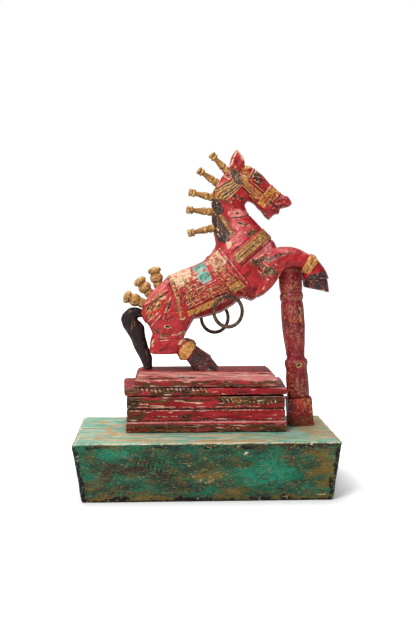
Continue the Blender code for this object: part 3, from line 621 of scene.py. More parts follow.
@dataclass(frozen=True)
class PaintFinish:
    """Hand-laid paint on carved wood: a ground coat and the coats, wear, painted highlight and painted shade over it.

    Streaks run along one axis, 0 for X and 2 for Z.
    """

    name: str
    ground: str
    ground_shade: str
    coats: tuple[Coat, ...]
    roughness: float = 0.55
    specular: float = 0.25
    grain_mm: float = 1.4
    grain_stretch: tuple[float, float, float] = (4.0, 1.0, 1.0)
    turn: float = 0.0
    bump_mm: float = 0.25
    metallic: float = 0.0
    raggedness: float = 3.0
    along: int = 0

    def material(self) -> bpy.types.Material:
        """Make the material, or return it where it is there already."""
        known = bpy.data.materials.get(self.name)
        if known:
            return known
        material = bpy.data.materials.new(self.name)
        tree = empty_tree(material)
        place = add_node(tree, "ShaderNodeTexCoord", {}, out=3)
        shade = self._noise(tree, place, GROUND_SHADE_MM, EVEN, 0.3)
        shade = add_node(tree, "ShaderNodeMapRange", {0: shade, 1: 0.4, 2: 0.62})
        colour = add_node(
            tree, "ShaderNodeMix", {0: shade, 6: linear(self.ground), 7: linear(self.ground_shade)},
            out=2, data_type="RGBA",
        )
        height = self._noise(tree, place, self.grain_mm, self.grain_stretch, 0.71)
        for number, coat in enumerate(self.coats):
            cover = self._cover(tree, place, coat, number)
            colour = add_node(
                tree, "ShaderNodeMix", {0: cover, 6: colour, 7: linear(coat.colour)}, out=2, data_type="RGBA"
            )
            if coat.relief:
                height = add_node(
                    tree, "ShaderNodeMath", {0: cover, 1: coat.relief, 2: height}, operation="MULTIPLY_ADD"
                )
        grain = self._noise(tree, place, self.grain_mm * 0.7, self.grain_stretch, 0.31)
        grain = add_node(tree, "ShaderNodeMapRange", {0: grain, 1: 0.3, 2: 0.7, 3: 0.84, 4: 1.1})
        colour = add_node(
            tree, "ShaderNodeMix", {0: 1.0, 6: colour, 7: grain}, out=2, data_type="RGBA", blend_type="MULTIPLY"
        )
        rough = self._noise(tree, place, SHEEN_MM, EVEN, 0.47)
        rough = add_node(
            tree, "ShaderNodeMapRange", {0: rough, 1: 0.3, 2: 0.7, 3: self.roughness - 0.1, 4: self.roughness + 0.14}
        )
        bump = add_node(tree, "ShaderNodeBump", {"Strength": 0.8, "Distance": self.bump_mm * MM, "Height": height})
        shader = add_node(
            tree, "ShaderNodeBsdfPrincipled",
            {
                "Base Color": colour, "Roughness": rough, "Normal": bump,
                "Specular IOR Level": self.specular, "Metallic": self.metallic,
            },
        )
        add_node(tree, "ShaderNodeOutputMaterial", {"Surface": shader})
        return material

    def _noise(
        self, tree: bpy.types.NodeTree, place: bpy.types.NodeSocket, size_mm: float,
        stretch: tuple[float, float, float], shift: float, detail: float = 3.0,
    ) -> bpy.types.NodeSocket:
        """Noise whose cells are of a real size.

        Args:
            tree: The material's nodes.
            place: Object coordinates, in metres.
            size_mm: Size of a cell.
            stretch: How many times longer a cell is along each axis.
            shift: Moves the pattern, so that no two are the same.
            detail: How ragged its outlines are.

        Returns:
            The noise's value.
        """
        cell = [size_mm * MM * longer for longer in stretch]
        moved = add_node(
            tree, "ShaderNodeMapping",
            {"Vector": place, "Scale": cell, "Rotation": (0, self.turn, 0), "Location": (shift, shift * 1.7, 0)},
            vector_type="TEXTURE",
        )
        return add_node(
            tree, "ShaderNodeTexNoise", {"Vector": moved, "Scale": 1.0, "Detail": detail, "Roughness": 0.6}
        )

    def _cover(
        self, tree: bpy.types.NodeTree, place: bpy.types.NodeSocket, coat: Coat, number: int
    ) -> bpy.types.NodeSocket:
        """Where a coat shows, from 0 to 1.

        Args:
            tree: The material's nodes.
            place: Object coordinates, in metres.
            coat: The coat.
            number: Its place among the coats.

        Returns:
            The cover's socket.
        """
        lines = coat.pattern is Pattern.LINES
        detail = LINE_DETAIL if lines else self.raggedness
        stretch = tuple(coat.stretch if axis == self.along else 1.0 for axis in range(3))
        level = self._noise(tree, place, coat.patch_mm, stretch, COAT_SHIFT * (number + 1), detail)
        if lines:
            level = add_node(tree, "ShaderNodeMath", {0: level, 1: 0.5}, operation="SUBTRACT")
            level = add_node(tree, "ShaderNodeMath", {0: level}, operation="ABSOLUTE")
            level = add_node(tree, "ShaderNodeMath", {0: level, 1: -4.0, 2: 0.7}, operation="MULTIPLY_ADD")
        if coat.where:
            held = add_node(tree, "ShaderNodeAttribute", {}, out=2, attribute_name=coat.where.value)
            held = add_node(tree, "ShaderNodeMath", {0: held, 1: coat.hold, 2: -coat.hold}, operation="MULTIPLY_ADD")
            level = add_node(tree, "ShaderNodeMath", {0: level, 1: held}, operation="ADD")
        return add_node(
            tree, "ShaderNodeMapRange",
            {0: level, 1: coat.level - coat.soft, 2: coat.level + coat.soft, 4: coat.opacity},
            interpolation_type="SMOOTHSTEP",
        )


# Distemper over gesso on carved wood, brushed on by hand: gold, cream and black rubbed through a deep red, with a
# painted highlight on top and painted shade underneath
HORSE_PAINT = PaintFinish(
    "hand-painted red distemper on carved wood", "#b01117", "#8e0c13",
    (
        Coat("#c0262e", 9.0, 0.42, 0.12, stretch=2.5),
        # Painted highlight on faces turned up
        Coat("#d8504a", 14.0, 0.46, 0.25, Tint.FACING_UP, 0.4, 0.55),
        Coat("#6a0a12", 7.0, 0.14, 0.08, stretch=3.0),
        # Painted shade on faces turned down
        Coat("#4e060d", 9.0, 0.70, 0.25, Tint.SHADED_UNDERSIDE, 0.4, 0.6),
        Coat("#221917", 4.0, 0.96, 0.04, Tint.MANE, 0.7),
        Coat("#5a2a1c", 3.0, 0.30, 0.06, Tint.MANE, 0.5),
        Coat("#9a7440", 2.4, 0.16, 0.04, Tint.MANE, 0.4),
        Coat("#2c2222", 4.0, 0.97, 0.06, Tint.HOOF, 0.8),
        Coat("#721622", 5.0, 0.36, 0.08, Tint.HOOF, 0.5, stretch=2.0),
        Coat("#86706a", 3.0, 0.10, 0.05, Tint.HOOF, 0.5, 0.8, 2.0),
        # Pink on the lit neck, breast and haunch: painted highlight together with worn paint
        Coat("#e07a78", 6.0, 0.78, 0.18, Tint.BLUSH, 0.5, 0.9, 2.5),
        Coat("#f2cdc0", 2.2, 0.26, 0.06, Tint.BLUSH, 0.3, 0.85, 3.0),
        Coat("#d6a04c", 7.0, 0.20, 0.05, Tint.PANEL, 0.6, pattern=Pattern.LINES, relief=0.4),
        Coat("#33190f", 7.0, 0.14, 0.05, Tint.PANEL, 0.6, pattern=Pattern.LINES),
        Coat("#e3bc98", 6.0, 0.92, 0.08, Tint.CREAM, 0.7),
        Coat("#ae7c46", 6.0, 0.22, 0.06, Tint.CREAM, 0.6, 0.9, 2.0, Pattern.LINES),
        Coat("#c65e58", 5.0, 0.20, 0.08, Tint.CREAM, 0.5, 0.8),
        Coat("#a3672a", 5.0, 0.98, 0.08, Tint.GOLD, 0.8, relief=0.3),
        Coat("#dba65a", 3.0, 0.40, 0.10, Tint.GOLD, 0.5, 0.9),
        Coat("#5b3418", 3.2, 0.26, 0.08, Tint.GOLD, 0.5, 0.9),
        Coat("#bb7a28", 5.0, 0.98, 0.08, Tint.OCHRE, 0.8, relief=0.3),
        Coat("#ecc27a", 3.4, 0.34, 0.10, Tint.OCHRE, 0.5),
        Coat("#9c2a24", 3.0, 0.22, 0.06, Tint.OCHRE, 0.5, 0.85),
        Coat("#dcb48e", 2.2, 0.52, 0.06, Tint.UMBER, 0.3, 0.9, 2.0),
        Coat("#4e3820", 3.2, 0.84, 0.07, Tint.UMBER, 0.7, relief=-0.5),
        Coat("#a5804e", 1.8, 0.26, 0.06, Tint.UMBER, 0.6, 0.9, 2.5),
        Coat("#221610", 2.8, 0.32, 0.08, Tint.UMBER, 0.6, 0.9, 2.0),
        Coat("#241812", 3.0, 0.92, 0.08, Tint.DARK, 0.7, relief=-0.5),
        Coat("#9fb9a8", 4.0, 0.90, 0.08, Tint.TEAL, 0.8),
        Coat("#0c8474", 7.0, 0.66, 0.10, Tint.TEAL, 1.2),
        Coat("#c06a66", 1.8, 0.14, 0.04, Tint.TEAL, 0.3, 0.9),
        Coat("#e6bd92", 3.6, 0.32, 0.12, Tint.RIDGE, 0.5, 0.7, 2.0),
        Coat("#2e0c0a", 4.0, 0.80, 0.18, Tint.HOLLOW, 0.5, 0.75),
        Coat("#3a2016", 1.8, 0.03, 0.02, stretch=2.0),
        Coat("#d9a48c", 1.6, 0.03, 0.03, opacity=0.5, stretch=2.5),
    ),
    roughness=0.42,
    specular=0.38,
    turn=math.radians(-38),
)

# Turned wood in ochre gold, with a painted highlight on top and painted shade underneath, brown in its grooves and
# rubbed pale on its ridges
GOLD_PAINT = PaintFinish(
    "rubbed ochre gold paint on turned wood", "#a2692a", "#85511c",
    (
        Coat("#a9781c", 7.0, 0.35, 0.10),
        # Painted highlight on top
        Coat("#d8a55c", 6.0, 0.58, 0.25, Tint.FACING_UP, 0.4, 0.8),
        # Painted shade underneath
        Coat("#51300f", 6.0, 0.92, 0.25, Tint.SHADED_UNDERSIDE, 0.45, 0.85),
        Coat("#5d3517", 3.0, 0.14, 0.06, opacity=0.8),
        Coat("#241409", 3.0, 0.98, 0.12, Tint.HOLLOW, 0.6, 0.94),
        Coat("#e8c288", 3.0, 0.36, 0.14, Tint.RIDGE, 0.6, 0.75),
        Coat("#2b1a10", 2.0, 0.03, 0.03),
    ),
    roughness=0.44,
    specular=0.35,
)

# Lamp black over red on the carved tail, worn at the edges
TAIL_PAINT = PaintFinish(
    "worn black paint on the carved tail", "#171110", "#251a19",
    (
        Coat("#4a1c1a", 4.0, 0.16, 0.05, stretch=4.0),
        Coat("#7c5230", 3.0, 0.44, 0.05, Tint.RIDGE, 0.4, 0.85, 3.0),
        Coat("#6e4a26", 2.6, 0.08, 0.04, stretch=5.0),
    ),
    roughness=0.45,
    along=2,
)

# Faded red distemper on sawn boards: pink on top, a painted highlight with dust and wear, brown where hands and dirt
# took it
PEDESTAL_PAINT = PaintFinish(
    "faded red distemper on pedestal boards", "#a3131b", "#7c0f15",
    (
        Coat("#b22a34", 8.0, 0.42, 0.08, stretch=6.0),
        Coat("#542617", 5.0, 0.26, 0.06, stretch=7.0),
        # Pink where the boards face up: painted highlight together with dust and wear
        Coat("#d4827c", 9.0, 0.84, 0.16, Tint.BLUSH, 0.5, 0.92, 6.0),
        Coat("#e6b9a6", 4.0, 0.22, 0.06, Tint.BLUSH, 0.3, 0.8, 8.0),
        Coat("#4b3317", 6.0, 0.90, 0.10, Tint.UMBER, 0.55, 0.95, 4.0),
        Coat("#94703a", 3.6, 0.30, 0.05, Tint.UMBER, 0.4, 0.95, 3.0),
        Coat("#8a1a1e", 4.0, 0.16, 0.05, Tint.UMBER, 0.4, 0.9, 5.0),
        Coat("#1c100b", 4.0, 0.32, 0.05, Tint.UMBER, 0.4, 0.95, 4.0),
        Coat("#d8b48c", 2.6, 0.95, 0.05, Tint.CREAM, 0.6, 0.95),
        Coat("#120a08", 3.0, 0.95, 0.06, Tint.DARK, 0.6, 0.95, relief=-0.6),
        Coat("#1c0c0a", 4.0, 0.10, 0.04, stretch=8.0),
        Coat("#e6bfa8", 2.6, 0.05, 0.02, stretch=9.0, relief=-0.5),
        Coat("#dba08c", 4.0, 0.50, 0.10, Tint.RIDGE, 0.5, 0.85, 4.0),
        Coat("#150807", 4.0, 0.97, 0.14, Tint.HOLLOW, 0.5, 0.95),
    ),
    roughness=0.5,
    grain_mm=1.3,
    grain_stretch=(12.0, 1.0, 1.0),
    bump_mm=0.4,
)

# Darker red on the turned post, scuffed to ochre and black, with a painted highlight lightening the block
POST_PAINT = PaintFinish(
    "scuffed red distemper on the turned post", "#831019", "#6b0c15",
    (
        Coat("#901b24", 8.0, 0.38, 0.10, stretch=3.0),
        # Lighter red on the block: painted highlight
        Coat("#c0402f", 5.0, 0.80, 0.10, Tint.BLUSH, 0.5),
        Coat("#7d5226", 4.5, 0.07, 0.05, stretch=2.5),
        Coat("#6b4820", 5.0, 0.88, 0.10, Tint.UMBER, 0.6),
        Coat("#a88340", 3.2, 0.34, 0.06, Tint.UMBER, 0.5),
        Coat("#b3893f", 4.0, 0.92, 0.06, Tint.GOLD, 0.6),
        Coat("#d9b49c", 1.5, 0.20, 0.05, Tint.CREAM, 0.5, 0.85),
        Coat("#1a110e", 3.0, 0.92, 0.06, Tint.DARK, 0.7, relief=-0.6),
        Coat("#d9b0a2", 1.6, 0.018, 0.02, stretch=1.6),
        Coat("#c07a5c", 3.4, 0.34, 0.12, Tint.RIDGE, 0.5, 0.7),
        Coat("#160908", 4.0, 0.95, 0.16, Tint.HOLLOW, 0.5, 0.92),
        Coat("#24140e", 2.4, 0.04, 0.03, stretch=2.0),
    ),
    roughness=0.4,
    specular=0.35,
    grain_stretch=(1.0, 1.0, 5.0),
    along=2,
)

# Old green distemper brushed over a hewn block: teal on top under a pale painted highlight, brown where it has gone,
# dark chipped edges
PLINTH_PAINT = PaintFinish(
    "old green distemper on a hewn block", "#0a4a31", "#143424",
    (
        Coat("#0b6c50", 20.0, 0.36, 0.16, stretch=2.6),
        Coat("#122627", 12.0, 0.22, 0.14, stretch=2.6),
        Coat("#5a4a22", 9.0, 0.22, 0.14, stretch=2.4),
        Coat("#3c2c18", 6.0, 0.14, 0.10, stretch=2.4),
        Coat("#0a8467", 12.0, 0.86, 0.24, Tint.TEAL, 0.45, 0.85, 2.6),
        Coat("#0e3a33", 6.0, 0.30, 0.08, Tint.TEAL, 0.3, 0.85, 2.6),
        Coat("#13292c", 8.0, 0.96, 0.2, Tint.PANEL, 0.45, 0.9, 2.6),
        Coat("#75591f", 10.0, 0.98, 0.2, Tint.OCHRE, 0.45, 0.92, 2.6),
        Coat("#a08240", 3.4, 0.30, 0.06, Tint.OCHRE, 0.4, 0.85, 3.0),
        Coat("#1c5a45", 3.4, 0.22, 0.06, Tint.OCHRE, 0.4, 0.85, 3.0),
        Coat("#311f14", 8.0, 0.99, 0.16, Tint.UMBER, 0.42, 0.94, 2.6),
        Coat("#76552e", 3.0, 0.32, 0.06, Tint.UMBER, 0.4, 0.9, 3.0),
        Coat("#134236", 4.0, 0.22, 0.06, Tint.UMBER, 0.4, 0.9, 3.0),
        Coat("#0f8265", 2.0, 0.12, 0.05, opacity=0.7, stretch=6.0),
        Coat("#0a1716", 1.8, 0.17, 0.05, opacity=0.8, stretch=3.0),
        Coat("#a07a3a", 1.3, 0.16, 0.04, opacity=0.85, stretch=3.0),
        # Pale top: painted highlight over the teal, then the top's own streaks
        Coat("#8fbfab", 14.0, 0.96, 0.12, Tint.FACING_UP, 0.6, 0.95, 5.0),
        Coat("#2f967c", 9.0, 0.44, 0.07, Tint.FACING_UP, 0.5, 0.92, 6.0),
        Coat("#c9a57c", 7.0, 0.38, 0.06, Tint.FACING_UP, 0.5, 0.92, 8.0),
        Coat("#b68c5a", 5.0, 0.86, 0.10, Tint.GOLD, 0.6, 0.9),
        Coat("#22705c", 3.0, 0.18, 0.05, Tint.FACING_UP, 0.4, 0.85, 12.0),
        Coat("#e4d2b6", 2.6, 0.16, 0.04, Tint.FACING_UP, 0.4, 0.85, 10.0),
        Coat("#dec4a4", 3.4, 0.88, 0.06, Tint.CREAM, 0.55),
        Coat("#120d0b", 4.0, 0.90, 0.08, Tint.DARK, 0.55),
        Coat("#17100c", 4.0, 0.60, 0.12, Tint.HOLLOW, 0.45, 0.8),
        Coat("#c9a878", 2.6, 0.30, 0.08, Tint.RIDGE, 0.5, 0.7, 3.0),
    ),
    roughness=0.6,
    grain_mm=1.5,
    grain_stretch=(5.0, 1.0, 1.0),
    bump_mm=0.8,
    raggedness=7.0,
)

# Hand-forged iron wire, brown with old rust, with a painted highlight on top and painted shade underneath
IRON = PaintFinish(
    "rust-browned hand-forged iron", "#46342a", "#2b1f18",
    (
        Coat("#75583f", 4.0, 0.36, 0.12),
        # Painted highlight on top
        Coat("#b89a80", 3.0, 0.42, 0.12, Tint.FACING_UP, 0.3, 0.8),
        # Painted shade underneath
        Coat("#16100c", 3.0, 0.60, 0.20, Tint.SHADED_UNDERSIDE, 0.3, 0.7),
        Coat("#1d140e", 2.4, 0.16, 0.06),
    ),
    roughness=0.42,
    specular=0.5,
    metallic=0.4,
    grain_stretch=EVEN,
)


def strokes(*rows: tuple) -> list[Mark]:
    """Draw a line from each row: the pixels of its ends, then half width, tint, lift and strength."""
    return [Stroke(row[:2], row[2:4], *row[4:]) for row in rows]


def spots(*rows: tuple) -> list[Mark]:
    """Draw an oval from each row: its middle, its two radii, then turn, tint, lift and strength."""
    return [Spot(row[:2], row[2:4], *row[4:]) for row in rows]


def parallels(
    start: Point, end: Point, step: Point, count: int, half: float, tint: Tint, lift: float, strength: float = 1.0
) -> list[Mark]:
    """Lay equal lines side by side.

    Args:
        start: One end of the first line.
        end: Its other end.
        step: From each line to the next.
        count: How many there are.
        half: Half the width of each.
        tint: Their paint.
        lift: How far they stand proud, in millimetres.
        strength: How whole they are, from broken up to 1 for unbroken.

    Returns:
        The lines.
    """
    lines: list[Mark] = []
    for i in range(count):
        du, dv = step[0] * i, step[1] * i
        lines.append(Stroke((start[0] + du, start[1] + dv), (end[0] + du, end[1] + dv), half, tint, lift, strength))
    return lines


def strands(
    starts: tuple[Point, Point], ends: tuple[Point, Point], tints: Sequence[Tint | None], half: float, lift: float
) -> list[Mark]:
    """Lay lines side by side that spread or draw together, painted ones proud and bare ones cut in.

    Args:
        starts: Where the first and the last line start.
        ends: Where they end.
        tints: The paint of each line in turn, none where it is only a cut.
        half: Half the width of each.
        lift: How far they stand proud, in millimetres.

    Returns:
        The lines.
    """
    lines: list[Mark] = []
    for i, tint in enumerate(tints):
        share = i / max(1, len(tints) - 1)
        start, end = (
            (a[0] + (b[0] - a[0]) * share, a[1] + (b[1] - a[1]) * share) for a, b in (starts, ends)
        )
        proud = lift if tint in (Tint.GOLD, Tint.CREAM, Tint.OCHRE) else -lift * 0.7
        lines.append(Stroke(start, end, half, tint, proud))
    return lines


def curl(centre: Point, radius: float, turn: float, tint: Tint, half: float, lift: float) -> list[Mark]:
    """Draw one open scroll, most of a round with its end led inwards.

    Args:
        centre: Its middle.
        radius: Its radius.
        turn: Where it starts, in degrees.
        tint: Its paint.
        half: Half the width of the line.
        lift: How far it stands proud, in millimetres.

    Returns:
        The short lines that it is made of.
    """
    places: list[Point] = []
    for i in range(7):
        angle, reach = math.radians(turn + 45 * i), radius * (1 - 0.09 * i)
        places.append((centre[0] + reach * math.cos(angle), centre[1] + reach * math.sin(angle)))
    return [Stroke(a, b, half, tint, lift) for a, b in itertools.pairwise(places)]


def curls(places: Iterable[tuple], radius: float, tint: Tint, half: float, lift: float) -> list[Mark]:
    """Draw a curl at each place, given by its pixels and its turn."""
    return [mark for u, v, turn in places for mark in curl((u, v), radius, turn, tint, half, lift)]


@dataclass(frozen=True)
class CarvedHorse:
    """The horse itself: an even skin over its solid, softened, then carved and painted."""

    voxel_mm: float = 1.15
    rounding: int = 46
    hewn_mm: float = 0.35

    @staticmethod
    def head_marks() -> list[Mark]:
        """Bridle, eye, muzzle, ears and throat, in the photograph's pixels."""
        g, c, d, b, o, um = Tint.GOLD, Tint.CREAM, Tint.DARK, Tint.BLUSH, Tint.OCHRE, Tint.UMBER
        return [
            # Fan of strands swept back from the crossing
            Patch(((214.5, 189.5), (226, 181), (239, 180.5), (240, 188), (228, 200), (215, 199)), g, 0.2),
            *strokes(
                (215, 199, 231, 201, 0.9, um, -0.3), (218, 186.5, 228, 179, 1.4, b, 0.3),
                (217, 189, 231, 180.5, 0.8, d, -0.9),
            ),
            *spots(
                (225.8, 192.8, 1.7, 2.6, 15, d, -0.5), (219, 196, 3, 1, -20, um, -0.3),
                (232, 190.5, 2.6, 1, -35, um, -0.3),
            ),
            *strands(
                ((236, 180.5), (239.5, 188)), ((214.5, 190.5), (227, 200)),
                (g, um, g, um, g, d, g, um, g), 0.7, 0.6,
            ),
            # Knot behind the ear
            Patch(((228.5, 171), (233, 167), (241, 173), (241, 183), (236, 183.5), (230, 177)), um, 0.3),
            *strokes((224, 176, 229, 179.5, 0.8, c, 0.4), (226, 173.8, 231, 178, 0.7, c, 0.4)),
            Spot((227.5, 175.6), (1.8, 1.4), -30, d, -0.6),
            *strands(
                ((229.5, 173), (237, 169.5)), ((236, 184), (244, 181)),
                (g, d, um, um, d, um, g), 0.65, 0.6,
            ),
            # Crossing of the straps
            Patch(((235, 180), (240, 175.5), (248, 177), (248, 183), (241, 187), (236, 189)), g, 0.3, 0.86),
            *strokes(
                (240.4, 175, 249.6, 177.6, 0.7, c, 0.6), (234, 181, 244, 187, 0.6, um, -0.5),
                (236, 188, 243, 178.5, 0.6, d, -0.5, 0.9),
            ),
            *spots((246.3, 179.6, 2.4, 2, 10, o, 0.6), (243.4, 184, 2.6, 1.5, 40, um, -0.3)),
            # Brow strap and forehead
            Patch(((240, 169.6), (246, 165), (255, 168.4), (252.6, 171), (246, 170.4), (240, 172.6)), o, 0.4, 0.95),
            Patch(((240, 170.6), (252, 171), (249, 176.4), (240, 175)), o, 0.2, 0.8),
            *strokes(
                (240, 173.6, 249, 176.2, 0.7, g, 0.5), (254.3, 168.5, 248.7, 177.4, 0.8, g, 0.8),
                (255.4, 169.2, 250, 178.4, 0.6, d, -0.9, 0.95), (256.6, 170.2, 251.4, 178.6, 0.6, c, 0.4),
                # Cream painted highlight on the forehead
                (257, 170.8, 259.5, 172.8, 1.2, c, 0.3, 0.9),
            ),
            Spot((246.6, 168.2), (4, 1.5), 0, c, 0.2, 0.9),
            # The eye: lid, ball and the dark round it
            *strokes(
                (252, 173.8, 260.5, 175, 0.7, g, 0.8, 0.8), (253, 176.8, 263, 178.8, 0.6, g, 0.7, 0.7),
                (252.5, 178, 264, 180.2, 0.6, d, -1.4), (253, 182, 260.5, 185.2, 0.8, d, -1.2),
                (258, 186.5, 266, 189, 0.8, None, -0.6),
            ),
            *spots(
                (256.8, 175.4, 6.2, 3, 22, um, 0.8), (258.4, 181, 5.2, 2.1, 22, d, 1.3),
                (264.3, 183, 1.8, 3, -15, um, -0.2, 0.75),
            ),
            # Cheek strap
            Patch(((242, 184), (248, 180.5), (263.5, 193.5), (259, 200), (250, 197)), g, 0.2, 0.8),
            *strokes(
                (249.4, 179.6, 263.6, 191.8, 0.8, g, 1.1), (248.4, 181.2, 262.8, 193, 0.5, d, -0.8),
                (247.4, 182.4, 262, 194.4, 0.7, g, 0.8), (240.6, 184.6, 244.4, 189.4, 0.8, o, 0.4),
                (242.6, 187.6, 249.4, 194, 0.9, d, -1.1),
            ),
            *strands(
                ((246, 184.6), (242.8, 188.4)), ((260.8, 196), (255, 200.4)), (None, g, None, g, None, g), 0.5, 0.7,
            ),
            # Noseband
            Patch(((271, 186), (280, 193), (270, 207), (259, 200)), o, 0.3, 0.8),
            Patch(((271.8, 186.8), (280, 192.6), (277.6, 194), (270.6, 189)), o, 0.3),
            Patch(((256.8, 202.4), (260.5, 199.5), (267, 204.4), (263.6, 209)), o, 0.3),
            *strokes(
                (271.4, 185.8, 259.4, 200.2, 0.8, g, 1), (273.2, 187.4, 261.4, 201.8, 0.45, d, -0.7, 0.7),
                (279.8, 193, 269.8, 206, 0.8, g, 0.9), (281.3, 194, 271.5, 208, 0.6, d, -0.9, 0.8),
            ),
            Spot((269, 201.3), (2.2, 0.9), 10, d, -0.2),
            *curls(
                ((272.6, 190.6, 40), (275.6, 193.4, 220), (269.6, 193.8, 200), (272.6, 197, 20), (267, 197.4, 40),
                 (269.8, 200.4, 220), (264.2, 201, 200)), 1.8, g, 0.5, 0.3,
            ),
            # Nostril, lips and the corner of the mouth
            *strokes(
                (279.5, 196, 284.5, 195, 0.6, d, -0.4, 0.7), (271, 203, 277.5, 207.5, 1.5, d, -0.6),
                (277.5, 207.5, 283, 205.5, 0.7, d, -1, 0.7), (276, 204.5, 284.5, 201.5, 0.7, c, 0.4, 0.7),
                (266, 211, 269, 216, 1, d, -0.3, 0.6),
            ),
            *spots(
                # The cream spot by the nostril is a painted highlight
                (286.8, 197.6, 2.2, 1.7, 20, None, 1), (281.8, 198.3, 3.2, 1.9, -25, c, 0.5, 0.7),
                (283.8, 199.4, 1.3, 0.8, 20, d, -1.2),
            ),
            # Throat
            *strokes(
                (233.6, 195, 236, 198.6, 0.9, d, -0.3), (240, 197.6, 242.6, 200, 0.9, d, -0.3),
                (222, 204, 247, 206.5, 1.8, None, -0.5), (229, 208, 242, 210, 0.5, c, 0.5, 0.8),
            ),
            *spots((234.8, 196.8, 2.6, 2.6, 0, um, -0.3), (241.2, 198.8, 2.9, 2.6, 0, um, -0.3, 0.95)),
            # Ears: grey rim and tip over red
            *strokes((236.4, 151, 231.2, 165, 1, c, 0.2, 0.95), (240, 153, 242.6, 160, 0.9, c, 0.2)),
            *spots((238, 153, 1.9, 2.8, -18, b, -0.2), (235.4, 167, 1.5, 1.2, 0, o, 0.3)),
        ]

